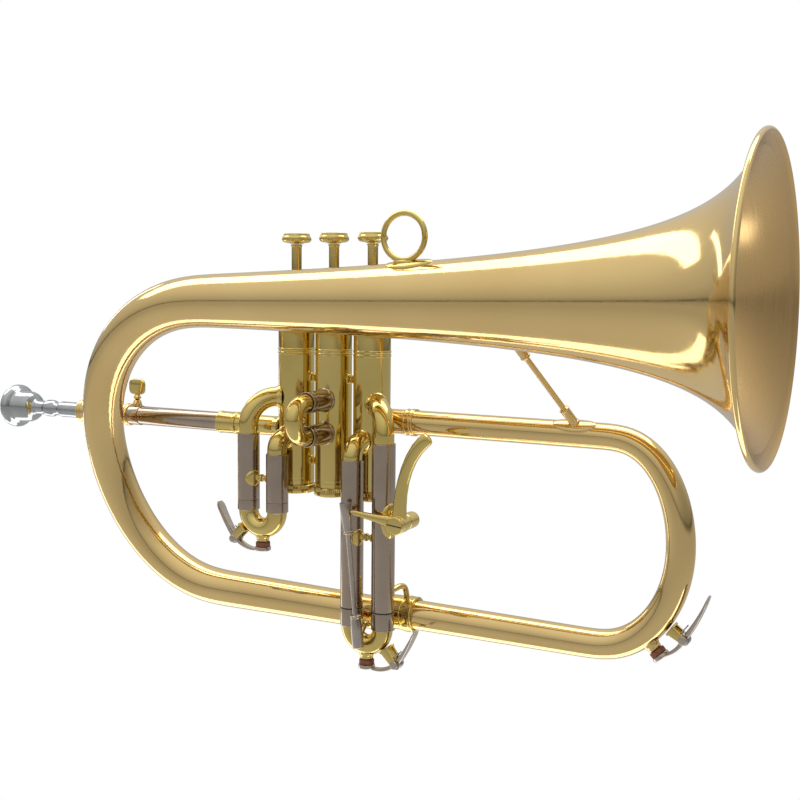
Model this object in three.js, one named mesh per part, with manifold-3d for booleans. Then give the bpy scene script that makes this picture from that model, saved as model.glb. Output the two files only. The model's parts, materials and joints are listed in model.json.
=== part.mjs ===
// A B-flat flugelhorn with three piston valves, as one THREE.Group of named solids.
// Millimetres. +X points out of the bell, +Z up, and -Y is the player's right-hand side.
// The origin is on the second valve's axis, at the height of the leadpipe.
import * as THREE from 'three';
import { mergeVertices } from 'three/addons/utils/BufferGeometryUtils.js';
import Module from 'manifold-3d';

// ---- driving dimensions -------------------------------------------------------------
const GAP = 0.3;                 // clearance between neighbouring solids

const VALVE_PITCH = 26;
const CASING_R = 10.8;
const CASING_BORE_R = 9.4;
const CASING_BOTTOM = -33;
const CASING_TOP = 82;
const PISTON_R = CASING_BORE_R - GAP;
const PISTON_BOTTOM = -7;
const PISTON_TOP = 56;
const STEM_R = 2.9;
const CAP_R = 11.7;
const BOTTOM_CAP_FACE = -38.5;
const VENT_R = 1.5;
const TOP_CAP_TOP = 91;
const BUTTON_R = 8.75;
const BUTTON_TOP = 115.6;
const BUTTON_BOTTOM = 109.6;
const PORT_R = 5;

const BELL_Y = -43.6;
const BELL_TAIL = new THREE.Vector3(-62, BELL_Y, 75.8);
const BELL_LENGTH = 317;
const BELL_RISE = 0.0131;        // slope of the bell axis, in radians
const BELL_RIM_R = 76.5;
const BELL_FLARE_OFFSET = 17;
const BELL_FLARE_POWER = 0.543;
const WALL = 1;                  // wall of the large tubes
const LEAF_EASE = 0.6;          // extra room under a leaf on the bell's curved wall

const BOW_R_TOP = 15.2;          // rear bow, at the bell tail
const BOW_R_MID = 12.4;
const BOW_R_LOW = 11.3;
const REAR_BOW_X = -158;         // outermost point of the rear bow's centre line
const REAR_BOW_MID_Z = -16;
const LOWER_START_X = -86;
const LOWER_Z = -106;
const LOWER_JOINT_X = 41;
const LOWER_R_JOINT = 9.6;
const FRONT_LOW_R = 8.6;
const MAIN_R = 7.9;
const UPPER_R = 7;
const UPPER_Z = 8.2;
const FRONT_JOINT_X = 164;
const FRONT_BOW_X = 207.8;       // outermost point of the front bow's centre line
const FRONT_TOP_X = 172;         // where its upper quarter starts
const FRONT_FOOT_X = 165;        // where its lower quarter ends

const SLEEVE_R = 6.6;            // outer tubes of the valve slides
const SLEEVE_BORE_R = 5.8;
const SLIDE_R = SLEEVE_BORE_R - GAP;
const SLIDE_BORE_R = 4.9;
const BEND_R = 5.8;              // knuckles and slide bows
const SLEEVE_OVERLAP = 1.5;      // how far a knuckle reaches into its sleeve

const LEAD_X = -37.1;
const LEAD_FERRULE_X = -68.2;
const LEAD_SLEEVE_X = -82.8;
const LEAD_COLLAR_X = -158.6;
const LEAD_SLEEVE_END_X = -155.2;
const RECEIVER_X = -198.6;
const RIM_X = -262;

const TRIGGER_X = 61.5;
const TRIGGER_Z = -44;
const TRIGGER_Y = -31;
const LINK_TOP = new THREE.Vector3(27.5, TRIGGER_Y, -40);
const LINK_FOOT = new THREE.Vector3(35.1, TRIGGER_Y, -111);

const X_AXIS = new THREE.Vector3(1, 0, 0);
const Y_AXIS = new THREE.Vector3(0, 1, 0);
const Z_AXIS = new THREE.Vector3(0, 0, 1);

// ---- materials ----------------------------------------------------------------------
const lacquer = { color: 0xd2ab62, roughness: 0.16, metalness: 1 };
const paleBrass = { color: 0xcdb35a, roughness: 0.15, metalness: 1 };
const nickel = { color: 0x958673, roughness: 0.2, metalness: 1 };
const silver = { color: 0xd4d8d8, roughness: 0.1, metalness: 1 };
const steel = { color: 0x9a9a98, roughness: 0.35, metalness: 1 };
const cork = { color: 0x7a3620, roughness: 0.85, metalness: 0 };

// ---- solid helpers ------------------------------------------------------------------
const wasm = await Module();
wasm.setup();

function volumeOf(geometry) {
  const position = geometry.getAttribute('position');
  const corners = geometry.index.array;
  const [a, b, c] = [new THREE.Vector3(), new THREE.Vector3(), new THREE.Vector3()];
  let total = 0;
  for (let i = 0; i < corners.length; i += 3) {
    a.fromBufferAttribute(position, corners[i]);
    b.fromBufferAttribute(position, corners[i + 1]);
    c.fromBufferAttribute(position, corners[i + 2]);
    total += a.dot(b.cross(c)) / 6;
  }
  return total;
}

// Welds a geometry's vertices, drops collapsed triangles and turns its faces outward.
function welded(geometry) {
  const bare = geometry.clone();
  bare.deleteAttribute('normal');
  bare.deleteAttribute('uv');
  const merged = mergeVertices(bare, 1e-4);
  const corners = merged.index.array;
  const kept = [];
  for (let i = 0; i < corners.length; i += 3) {
    const [a, b, c] = [corners[i], corners[i + 1], corners[i + 2]];
    if (a !== b && b !== c && c !== a) kept.push(a, b, c);
  }
  merged.setIndex(kept);
  if (volumeOf(merged) < 0) merged.setIndex(kept.reverse());
  return merged;
}

function toManifold(geometry) {
  const shape = welded(geometry);
  const vertProperties = new Float32Array(shape.getAttribute('position').array);
  const triVerts = new Uint32Array(shape.index.array);
  return new wasm.Manifold(new wasm.Mesh({ numProp: 3, vertProperties, triVerts }));
}

function fromManifold(manifold) {
  const mesh = manifold.getMesh();
  const geometry = new THREE.BufferGeometry();
  geometry.setAttribute('position', new THREE.BufferAttribute(mesh.vertProperties, 3));
  geometry.setIndex(new THREE.BufferAttribute(mesh.triVerts, 1));
  return geometry;
}

function combine(operation, first, others) {
  let result = toManifold(first);
  for (const other of others) result = result[operation](toManifold(other));
  return fromManifold(result);
}

const join = (first, ...others) => combine('add', first, others);
const cut = (first, ...others) => combine('subtract', first, others);
const common = (first, ...others) => combine('intersect', first, others);

// ---- shape helpers ------------------------------------------------------------------
const at = (x, y, z) => new THREE.Vector3(x, y, z);

// Part of an ellipse in space: centre + first cos(angle) + second sin(angle).
class EllipseArc extends THREE.Curve {
  constructor(centre, first, second, start, end) {
    super();
    Object.assign(this, { centre, first, second, start, end });
  }

  getPoint(t, target = new THREE.Vector3()) {
    const angle = THREE.MathUtils.lerp(this.start, this.end, t);
    return target.copy(this.centre)
      .addScaledVector(this.first, Math.cos(angle))
      .addScaledVector(this.second, Math.sin(angle));
  }
}

// A coil about the Z axis.
class Helix extends THREE.Curve {
  constructor(radius, bottom, top, turns) {
    super();
    Object.assign(this, { radius, bottom, top, turns });
  }

  getPoint(t, target = new THREE.Vector3()) {
    const angle = 2 * Math.PI * this.turns * t;
    const height = THREE.MathUtils.lerp(this.bottom, this.top, t);
    return target.set(this.radius * Math.cos(angle), this.radius * Math.sin(angle), height);
  }
}

const line = (from, to) => ({ curve: new THREE.LineCurve3(from, to), steps: 1 });
const bend = (curve, steps) => ({ curve, steps });

// Places where a route needs a cross-section, as distances along it.
function stationsOf(route) {
  const stations = [0];
  let travelled = 0;
  for (const { curve, steps } of route) {
    const length = curve.getLength();
    for (let step = 1; step <= steps; step += 1) stations.push(travelled + length * step / steps);
    travelled += length;
  }
  return stations;
}

function placeOn(route, distance) {
  let left = distance;
  for (const [index, { curve }] of route.entries()) {
    const length = curve.getLength();
    if (left <= length || index === route.length - 1) {
      const fraction = THREE.MathUtils.clamp(left / length, 0, 1);
      return { point: curve.getPointAt(fraction), tangent: curve.getTangentAt(fraction) };
    }
    left -= length;
  }
  return null;
}

// Adds the route's stations to an outline of [radius, distance] pairs, in order.
function withStations(outline, stations) {
  const result = [outline[0]];
  for (let i = 1; i < outline.length; i += 1) {
    const [r0, d0] = outline[i - 1];
    const [r1, d1] = outline[i];
    for (const station of stations) {
      if (station > d0 + 0.01 && station < d1 - 0.01) {
        result.push([THREE.MathUtils.mapLinear(station, d0, d1, r0, r1), station]);
      }
    }
    result.push(outline[i]);
  }
  return result;
}

// A turned solid about the Z axis from [radius, height] pairs; closeRing makes it hollow.
function turned(profile, sides, closeRing = false) {
  const points = profile.map(([radius, height]) => new THREE.Vector2(radius, height));
  if (closeRing) points.push(points[0].clone());
  return new THREE.LatheGeometry(points, sides).rotateX(Math.PI / 2);
}

// A turned pipe bent along a route. outer and inner are outlines over the distance.
function pipe({ route, outer, inner, side, sides }) {
  const total = stationsOf(route).at(-1);
  const scale = (outline) => outline.map(([radius, share]) => [radius, share * total]);
  const stations = stationsOf(route);
  const skin = withStations(scale(outer), stations);
  const bore = inner ? withStations(scale(inner), stations).reverse() : [[0, total], [0, 0]];
  const profile = inner ? [...skin, ...bore] : [[0, 0], ...skin, [0, total]];
  const geometry = turned(profile, sides, Boolean(inner));
  const position = geometry.getAttribute('position');
  const vertex = new THREE.Vector3();
  for (let i = 0; i < position.count; i += 1) {
    vertex.fromBufferAttribute(position, i);
    const { point, tangent } = placeOn(route, vertex.z);
    const across = side.clone().addScaledVector(tangent, -side.dot(tangent)).normalize();
    const up = tangent.clone().cross(across);
    point.addScaledVector(across, vertex.x).addScaledVector(up, vertex.y);
    position.setXYZ(i, point.x, point.y, point.z);
  }
  return geometry;
}

// A plain pipe with one outer and one inner radius.
function plainPipe(route, outerR, innerR, side, sides = 12) {
  const inner = innerR ? [[innerR, 0], [innerR, 1]] : null;
  return pipe({ route, outer: [[outerR, 0], [outerR, 1]], inner, side, sides });
}

function rod(from, to, radius, sides = 10) {
  const length = from.distanceTo(to);
  const geometry = new THREE.CylinderGeometry(radius, radius, length, sides);
  const turn = new THREE.Quaternion().setFromUnitVectors(Y_AXIS, to.clone().sub(from).normalize());
  geometry.applyQuaternion(turn);
  const middle = from.clone().add(to).multiplyScalar(0.5);
  return geometry.translate(middle.x, middle.y, middle.z);
}

// A box with its centre at a point, turned about Y.
function block(width, depth, height, centre, turnY = 0) {
  const geometry = new THREE.BoxGeometry(width, depth, height).rotateY(turnY);
  return geometry.translate(centre.x, centre.y, centre.z);
}

// A thin leaf that lies on a round tube: along the tube's axis, outward on one side.
function leaf({ centre, along, outward, tubeR, thickness, halfLength, halfWidth }) {
  const inside = tubeR + GAP;
  const outside = inside + thickness;
  const ring = [[inside, -halfLength], [outside, -halfLength], [outside, halfLength], [inside, halfLength]];
  const shell = turned(ring, 24, true);
  const outline = new THREE.Shape();
  outline.absellipse(0, 0, halfWidth, halfLength - 0.1, 0, 2 * Math.PI, false);
  const prism = new THREE.ExtrudeGeometry(outline, {
    depth: outside + 1, bevelEnabled: false, curveSegments: 8,
  });
  prism.rotateX(Math.PI / 2);
  const plate = common(shell, prism);
  const across = along.clone().cross(outward);
  const turn = new THREE.Matrix4().makeBasis(across.negate(), outward.clone().negate(), along);
  turn.setPosition(centre);
  return plate.applyMatrix4(turn);
}

// ---- assembly -----------------------------------------------------------------------
const group = new THREE.Group();

function add(name, geometry, finish, parent = group) {
  const mesh = new THREE.Mesh(welded(geometry), new THREE.MeshStandardMaterial(finish));
  mesh.name = name;
  parent.add(mesh);
  return mesh;
}

// ---- valves -------------------------------------------------------------------------
const casingRoom = (x) => rod(at(x, 0, -60), at(x, 0, 100), CASING_R + GAP, 24);

const SPRING = { radius: 6.2, wire: 0.5, turns: 4.5, bottom: -29, top: PISTON_BOTTOM - 0.9 };
const PORTS = [
  { height: 0, turn: 0 },
  { height: 11.8, turn: Math.PI / 2 },
  { height: 35.3, turn: Math.PI / 4 },
];

function pistonShape() {
  const body = turned([
    [0, PISTON_BOTTOM], [PISTON_R, PISTON_BOTTOM], [PISTON_R, PISTON_TOP],
    [STEM_R, PISTON_TOP], [STEM_R, BUTTON_BOTTOM - GAP], [0, BUTTON_BOTTOM - GAP],
  ], 16);
  const ports = PORTS.map(({ height, turn }) => {
    const reach = at(2 * PISTON_R * Math.cos(turn), 2 * PISTON_R * Math.sin(turn), 0);
    const middle = at(0, 0, height);
    return rod(middle.clone().sub(reach), middle.clone().add(reach), PORT_R, 8);
  });
  return cut(body, ...ports);
}

const springShape = () => pipe({
  route: [bend(new Helix(SPRING.radius, SPRING.bottom, SPRING.top, SPRING.turns), 30)],
  outer: [[SPRING.wire, 0], [SPRING.wire, 1]],
  inner: null,
  side: Z_AXIS,
  sides: 4,
});

const casingShape = () => turned([
  [CASING_R, CASING_BOTTOM], [CASING_R, CASING_TOP],
  [CASING_BORE_R, CASING_TOP], [CASING_BORE_R, CASING_BOTTOM],
], 24, true);

const topCapShape = () => turned([
  [STEM_R + GAP, CASING_TOP - 3], [PISTON_R, CASING_TOP - 3], [PISTON_R, CASING_TOP + GAP],
  [CAP_R, CASING_TOP + GAP], [CAP_R, TOP_CAP_TOP - 3], [CAP_R - 2.5, TOP_CAP_TOP],
  [STEM_R + GAP, TOP_CAP_TOP],
], 16, true);

const bottomCapShape = () => turned([
  [VENT_R, BOTTOM_CAP_FACE], [CAP_R - 1, BOTTOM_CAP_FACE], [CAP_R, BOTTOM_CAP_FACE + 1],
  [CAP_R, CASING_BOTTOM - GAP], [PISTON_R, CASING_BOTTOM - GAP],
  [PISTON_R, CASING_BOTTOM + 3], [VENT_R, CASING_BOTTOM + 3],
], 16, true);

const buttonShape = () => turned([
  [0, BUTTON_BOTTOM], [STEM_R + 1, BUTTON_BOTTOM], [BUTTON_R, BUTTON_TOP - 2.7],
  [BUTTON_R, BUTTON_TOP - 0.5], [BUTTON_R - 0.6, BUTTON_TOP], [0, BUTTON_TOP],
], 18);

// The middle casing carries the short stays that tie it to its neighbours.
const STAY_HEIGHTS = [31, -18.7];
const STAY_R = 3.2;
function middleCasingShape() {
  const reach = VALVE_PITCH - CASING_R - GAP;
  const bore = rod(at(0, 0, CASING_BOTTOM - 1), at(0, 0, CASING_TOP + 1), CASING_BORE_R, 24);
  const stays = STAY_HEIGHTS.map((height) => rod(at(-reach, 0, height), at(reach, 0, height), STAY_R, 12));
  return join(casingShape(), ...stays.map((stay) => cut(stay, bore)));
}

for (const number of [1, 2, 3]) {
  const valve = new THREE.Group();
  valve.position.x = (number - 2) * VALVE_PITCH;
  add(`casing_${number}`, number === 2 ? middleCasingShape() : casingShape(), paleBrass, valve);
  add(`top_cap_${number}`, topCapShape(), paleBrass, valve);
  add(`bottom_cap_${number}`, bottomCapShape(), paleBrass, valve);
  add(`piston_${number}`, pistonShape(), nickel, valve);
  add(`valve_spring_${number}`, springShape(), steel, valve);
  add(`finger_button_${number}`, buttonShape(), paleBrass, valve);
  group.add(valve);
}

// ---- bell ---------------------------------------------------------------------------
const bellRadius = (fromRim) =>
  BELL_RIM_R * ((fromRim + BELL_FLARE_OFFSET) / BELL_FLARE_OFFSET) ** -BELL_FLARE_POWER;
const BELL_STEPS = [1.6, 6, 12, 21, 35, 55, 85, 125, 175, 240];

const bellSkin = BELL_STEPS.map((fromRim) => [bellRadius(fromRim), BELL_LENGTH - fromRim]).reverse();
const bell = turned([
  [BOW_R_TOP, 0], ...bellSkin, [BELL_RIM_R, BELL_LENGTH - 1.6], [BELL_RIM_R, BELL_LENGTH],
  [BELL_RIM_R - 2.6, BELL_LENGTH],
  ...bellSkin.slice().reverse().slice(1).map(([radius, height]) => [radius - WALL, height]),
  [BOW_R_TOP - WALL, 0],
], 28, true).rotateY(Math.PI / 2);
const bellMesh = add('bell', bell, lacquer);
bellMesh.position.copy(BELL_TAIL);
bellMesh.rotation.y = -BELL_RISE;

const bellAxis = (x) => at(x, BELL_Y, BELL_TAIL.z + (x - BELL_TAIL.x) * BELL_RISE);
const bellRadiusAt = (x) => bellRadius(BELL_TAIL.x + BELL_LENGTH - x);

// The slope of the bell's wall, and the direction of a leaf that lies along it.
const wallSlope = (x) => (bellRadiusAt(x + 1) - bellRadiusAt(x - 1)) / 2;
function bellLeaf(x, outward, shape) {
  const along = at(1, 0, BELL_RISE).addScaledVector(outward, wallSlope(x)).normalize();
  const away = outward.clone().addScaledVector(along, -outward.dot(along)).normalize();
  return leaf({ centre: bellAxis(x), along, outward: away, tubeR: bellRadiusAt(x) + LEAF_EASE, ...shape });
}

// ---- main tubing --------------------------------------------------------------------
// The rear bow leans: its top is beside the valves and its foot is under them.
const LEAN = BELL_Y / (BELL_TAIL.z - LOWER_Z);
const bowTopHeight = BELL_TAIL.z - REAR_BOW_MID_Z;
const bowFootHeight = REAR_BOW_MID_Z - LOWER_Z;
const topArc = new EllipseArc(
  at(BELL_TAIL.x, BELL_Y - LEAN * bowTopHeight, REAR_BOW_MID_Z),
  at(REAR_BOW_X - BELL_TAIL.x, 0, 0), at(0, LEAN * bowTopHeight, bowTopHeight), Math.PI / 2, 0,
);
const footArc = new EllipseArc(
  at(LOWER_START_X, LEAN * bowFootHeight, REAR_BOW_MID_Z),
  at(REAR_BOW_X - LOWER_START_X, 0, 0), at(0, -LEAN * bowFootHeight, -bowFootHeight), 0, Math.PI / 2,
);
const leanSide = at(0, 1, LEAN).cross(X_AXIS).normalize();
add('rear_bow', pipe({
  route: [
    line(BELL_TAIL.clone().setX(BELL_TAIL.x - GAP), BELL_TAIL.clone().setX(BELL_TAIL.x - 1)),
    bend(topArc, 6), bend(footArc, 6),
  ],
  outer: [[BOW_R_TOP, 0], [BOW_R_MID, 0.45], [BOW_R_LOW, 1]],
  inner: [[BOW_R_TOP - WALL, 0], [BOW_R_MID - WALL, 0.45], [BOW_R_LOW - WALL, 1]],
  side: leanSide,
  sides: 14,
}), lacquer);

const straightX = (from, to, z) => [line(at(from, 0, z), at(to, 0, z))];
const taper = (route, startR, endR) => pipe({
  route,
  outer: [[startR, 0], [endR, 1]],
  inner: [[startR - WALL, 0], [endR - WALL, 1]],
  side: Y_AXIS,
  sides: 16,
});
add('lower_branch_rear',
  taper(straightX(LOWER_START_X + GAP, LOWER_JOINT_X, LOWER_Z), BOW_R_LOW, LOWER_R_JOINT), lacquer);

const FRONT_LOW_Z = -103.3;
add('lower_branch_front',
  taper(straightX(LOWER_JOINT_X + GAP, FRONT_JOINT_X, FRONT_LOW_Z), FRONT_LOW_R, MAIN_R), lacquer);

const collarX = (x) => x - LOWER_JOINT_X - GAP;
const COLLAR = { bore: FRONT_LOW_R + GAP, middle: 53.5, end: 60.5, r: 9.9, ringR: 10.6 };
const collar = turned([
  [COLLAR.bore, 0], [COLLAR.r, 0], [COLLAR.r, collarX(COLLAR.middle)],
  [COLLAR.ringR, collarX(COLLAR.middle)], [COLLAR.ringR, collarX(COLLAR.end)],
  [COLLAR.bore, collarX(COLLAR.end)],
], 20, true).rotateY(Math.PI / 2).translate(LOWER_JOINT_X + GAP, 0, FRONT_LOW_Z);
add('lower_collar', collar, paleBrass);

const upperStart = VALVE_PITCH + CASING_R + GAP;
add('upper_branch', cut(
  taper(straightX(upperStart - 3, FRONT_JOINT_X, UPPER_Z), UPPER_R, UPPER_R),
  casingRoom(VALVE_PITCH),
), lacquer);
const UPPER_FERRULE = { from: 49.5, to: 55.5, r: 8.2 };
add('upper_ferrule', turned([
  [UPPER_R + GAP, UPPER_FERRULE.from], [UPPER_FERRULE.r, UPPER_FERRULE.from],
  [UPPER_FERRULE.r, UPPER_FERRULE.to], [UPPER_R + GAP, UPPER_FERRULE.to],
], 20, true).rotateY(Math.PI / 2).translate(0, 0, UPPER_Z), lacquer);

const frontBowMid = (UPPER_Z + FRONT_LOW_Z) / 2;
const frontTopArc = new EllipseArc(
  at(FRONT_TOP_X, 0, frontBowMid), at(0, 0, UPPER_Z - frontBowMid),
  at(FRONT_BOW_X - FRONT_TOP_X, 0, 0), 0, Math.PI / 2,
);
const frontFootArc = new EllipseArc(
  at(FRONT_FOOT_X, 0, frontBowMid), at(FRONT_BOW_X - FRONT_FOOT_X, 0, 0),
  at(0, 0, FRONT_LOW_Z - frontBowMid), 0, Math.PI / 2,
);

// ---- water keys ---------------------------------------------------------------------
// Each key is drawn flat: a along the tube from the nipple towards the pivot, b outward.
const KEY = {
  nippleR: 3.8, nippleH: 2.6, boreR: 1.5,
  corkR: 4.3, corkH: 2.4,
  capR: 4.8, capH: 2.4,
  width: 5, earWidth: 1.3,
  pinR: 0.8, hubR: 2.6,
};
// On a slide's tight bow the pivot is round the corner; on the front bow it stands off the tube.
const SLIDE_KEY = { pivot: [19.6, 2.5], tip: [31.9, -18.6], foot: [13.1, -5], turn: 0.87 };
const FRONT_KEY = { pivot: [16, 6.5], tip: [41, -3.2], foot: [14, -1.1], turn: 0.25 };
const corkFrom = KEY.nippleH + GAP;
const capFrom = corkFrom + KEY.corkH + GAP;
const capMiddle = capFrom + KEY.capH / 2;

// Turns the flat drawing's a, across and b axes into the horn's axes.
function keyPlacement(origin, outward, towardPivot) {
  const across = outward.clone().cross(towardPivot);
  return new THREE.Matrix4().makeBasis(towardPivot, across, outward).setPosition(origin);
}

const disc = (radius, from, to, sides) => turned([[0, from], [radius, from], [radius, to], [0, to]], sides);
const nippleShape = () => disc(KEY.nippleR, -2, KEY.nippleH, 12);
const waterHole = () => rod(at(0, 0, -4), at(0, 0, 10), KEY.boreR, 8);
const corkShape = () => disc(KEY.corkR, corkFrom, corkFrom + KEY.corkH, 12);

// A bar along a curve in the drawing's plane, with a thickness at each end.
function bar([a0, b0], [aMid, bMid], [a1, b1], startT, endT, width) {
  const steps = 5;
  const middle = new THREE.QuadraticBezierCurve(
    new THREE.Vector2(a0, b0), new THREE.Vector2(aMid, bMid), new THREE.Vector2(a1, b1),
  );
  const [over, under] = [[], []];
  for (let step = 0; step <= steps; step += 1) {
    const t = step / steps;
    const point = middle.getPoint(t);
    const tangent = middle.getTangent(t);
    const offset = new THREE.Vector2(-tangent.y, tangent.x)
      .multiplyScalar(THREE.MathUtils.lerp(startT, endT, t) / 2);
    over.push(point.clone().add(offset));
    under.unshift(point.clone().sub(offset));
  }
  const outline = new THREE.Shape([...over, ...under]);
  const solid = new THREE.ExtrudeGeometry(outline, { depth: width, bevelEnabled: false });
  return solid.rotateX(Math.PI / 2).translate(0, width / 2, 0);
}

function keyLeverShape({ pivot, tip }) {
  const half = KEY.width / 2;
  const bulge = [(pivot[0] + tip[0]) / 2 + 0.8, (pivot[1] + tip[1]) / 2 + 1.6];
  const plate = bar(pivot, bulge, tip, 2.6, 1.2, KEY.width);
  const elbow = [pivot[0] * 0.55, Math.max(pivot[1], capMiddle) + 3];
  const arm = bar(pivot, elbow, [2, capMiddle], 3, 1.4, KEY.width - 1);
  const cap = disc(KEY.capR, capFrom, capFrom + KEY.capH, 12);
  const axle = (reach, radius, sides) =>
    rod(at(pivot[0], -reach, pivot[1]), at(pivot[0], reach, pivot[1]), radius, sides);
  return cut(join(plate, arm, cap, axle(half, KEY.hubR, 12)), axle(half + 1, KEY.pinR + GAP, 8));
}

// The saddle: a foot against the tube, two ears beside the lever's hub, and the hinge pin.
function keySaddleShape({ pivot, foot, turn }) {
  const inside = KEY.width / 2 + GAP;
  const outside = inside + KEY.earWidth;
  const base = block(6.5, 2 * outside, 1.4, at(foot[0], 0, foot[1]), turn);
  const ears = [-1, 1].map((side) => {
    const from = at(foot[0], side * (inside + KEY.earWidth / 2), foot[1]);
    const to = at(pivot[0], from.y, pivot[1]);
    const slope = -Math.atan2(to.z - from.z, to.x - from.x);
    const middle = from.clone().add(to).multiplyScalar(0.5);
    const overhang = middle.clone().addScaledVector(to.clone().sub(from).normalize(), 1);
    return block(from.distanceTo(to) + 2, KEY.earWidth, 4, overhang, slope);
  });
  const pin = rod(at(pivot[0], -outside, pivot[1]), at(pivot[0], outside, pivot[1]), KEY.pinR, 8);
  return join(base, ...ears, pin);
}

function addKey(prefix, placement, layout) {
  add(`${prefix}_key_saddle`, keySaddleShape(layout).applyMatrix4(placement), paleBrass);
  add(`${prefix}_key_lever`, keyLeverShape(layout).applyMatrix4(placement), nickel);
  add(`${prefix}_key_cork`, corkShape().applyMatrix4(placement), cork);
}

const withNipple = (tube, placement) =>
  cut(join(tube, nippleShape().applyMatrix4(placement)), waterHole().applyMatrix4(placement));

// ---- front bow and its water key ----------------------------------------------------
const NIPPLE_PLACE = 55.2 / 90;  // share of the lower quarter, by angle
const frontNipple = frontFootArc.getPoint(NIPPLE_PLACE);
const frontTangent = frontFootArc.getTangent(NIPPLE_PLACE);
const frontOutward = frontTangent.clone().cross(Y_AXIS);
const frontPlacement = keyPlacement(
  frontNipple.clone().addScaledVector(frontOutward, MAIN_R), frontOutward, frontTangent.clone().negate(),
);
const frontBow = pipe({
  route: [
    line(at(FRONT_JOINT_X + GAP, 0, UPPER_Z), at(FRONT_TOP_X, 0, UPPER_Z)),
    bend(frontTopArc, 5), bend(frontFootArc, 5),
    line(at(FRONT_FOOT_X, 0, FRONT_LOW_Z), at(FRONT_JOINT_X + GAP, 0, FRONT_LOW_Z)),
  ],
  outer: [[UPPER_R, 0], [UPPER_R, 0.1], [MAIN_R, 1]],
  inner: [[UPPER_R - WALL, 0], [UPPER_R - WALL, 0.1], [MAIN_R - WALL, 1]],
  side: Y_AXIS,
  sides: 12,
});
add('front_bow', withNipple(frontBow, frontPlacement), lacquer);
addKey('bow', frontPlacement, FRONT_KEY);

// ---- leadpipe and mouthpiece --------------------------------------------------------
const alongX = (profile, sides) => turned(profile, sides, true).rotateY(Math.PI / 2);

add('leadpipe_elbow', cut(alongX([
  [4.9, LEAD_SLEEVE_X + GAP], [6.9, LEAD_SLEEVE_X + GAP], [6.9, LEAD_FERRULE_X],
  [5.9, LEAD_FERRULE_X], [5.9, LEAD_X + 2], [4.9, LEAD_X + 2],
], 16), casingRoom(-VALVE_PITCH)), lacquer);
add('leadpipe_sleeve', alongX([
  [5.5, LEAD_SLEEVE_END_X], [6, LEAD_SLEEVE_END_X], [6, LEAD_SLEEVE_X], [5.5, LEAD_SLEEVE_X],
], 16), nickel);

const SCREW_X = -150;
const clampRing = alongX([
  [6.3, LEAD_COLLAR_X], [7.2, LEAD_COLLAR_X], [7.2, SCREW_X + 4], [6.3, SCREW_X + 4],
], 20);
const boss = rod(at(SCREW_X, 0, 6.5), at(SCREW_X, 0, 10), 2.8, 12);
const bossHole = rod(at(SCREW_X, 0, 5), at(SCREW_X, 0, 12), 1.6, 8);
add('clamp_collar', cut(join(clampRing, boss), bossHole), lacquer);

const SPADE = { z: 18.6, halfWidth: 6.4, halfHeight: 5.2, thickness: 2.4 };
const spadeOutline = new THREE.Shape();
spadeOutline.absellipse(0, 0, SPADE.halfWidth, SPADE.halfHeight, 0, 2 * Math.PI, false);
const spade = new THREE.ExtrudeGeometry(spadeOutline, {
  depth: SPADE.thickness, bevelEnabled: false, curveSegments: 8,
}).rotateX(Math.PI / 2).translate(SCREW_X, SPADE.thickness / 2, SPADE.z);
const screwStem = rod(at(SCREW_X, 0, 6.6), at(SCREW_X, 0, SPADE.z), 1.3, 8);
add('thumbscrew', join(spade, screwStem), lacquer);

add('mouthpipe', alongX([
  [7.2, RECEIVER_X], [7.2, RECEIVER_X + 3.6], [6.3, RECEIVER_X + 4], [6.3, RECEIVER_X + 26],
  [5.2, RECEIVER_X + 30], [5.2, LEAD_SLEEVE_X - 5], [4.5, LEAD_SLEEVE_X - 5],
  [4.3, RECEIVER_X + 15], [5.45, RECEIVER_X + 14], [5.8, RECEIVER_X],
], 16), lacquer);

// The mouthpiece, from the rim to the end of its shank, and back along its bore.
add('mouthpiece', alongX([
  [9, 0], [11.2, 0], [13.4, 0.8], [14.6, 2.8], [14.6, 5.8], [13.4, 7.2], [11.2, 8.4], [10.3, 17.6],
  [8.8, 20.2], [4.8, 21.8], [4.6, 31], [5.6, 33.2], [5.6, 38], [4.4, 40.2], [4.4, 44.4], [5.2, 46.6], [5, 74.5],
  [4, 74.5], [1.9, 21.5], [2.2, 16], [5, 11.8], [7.4, 6.5], [8.2, 1.6],
].map(([radius, fromRim]) => [radius, RIM_X + fromRim]), 16), silver);

// ---- valve slides -------------------------------------------------------------------
// The outer leg of a slide: a knuckle out of the casing, a quarter bend, and the sleeve.
function outerLeg(casingX, foot, kneeZ, sleeveTop, sleeveBottom) {
  const flat = at(foot.x - casingX, foot.y, 0);
  const reach = flat.length();
  const out = flat.clone().normalize();
  const bendR = Math.min(reach - CASING_R - 1, kneeZ - sleeveTop - GAP);
  const inside = at(casingX, 0, kneeZ).addScaledVector(out, CASING_R - 3);
  const corner = at(foot.x, foot.y, kneeZ);
  const bendStart = corner.clone().addScaledVector(out, -bendR);
  const centre = bendStart.clone().setZ(kneeZ - bendR);
  const arc = new EllipseArc(centre, at(0, 0, bendR), out.clone().multiplyScalar(bendR), 0, Math.PI / 2);
  const route = [
    line(inside, bendStart), bend(arc, 4),
    line(at(foot.x, foot.y, kneeZ - bendR), at(foot.x, foot.y, sleeveBottom)),
  ];
  const total = stationsOf(route).at(-1);
  const shoulder = (total - (sleeveTop - sleeveBottom)) / total;
  const seat = shoulder + SLEEVE_OVERLAP / total;
  const side = out.clone().cross(Z_AXIS);
  const leg = pipe({
    route,
    outer: [[BEND_R, 0], [BEND_R, shoulder], [SLEEVE_R, shoulder], [SLEEVE_R, 1]],
    inner: [[SLIDE_BORE_R, 0], [SLIDE_BORE_R, seat], [SLEEVE_BORE_R, seat], [SLEEVE_BORE_R, 1]],
    side,
    sides: 14,
  });
  return cut(leg, casingRoom(casingX));
}

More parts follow.
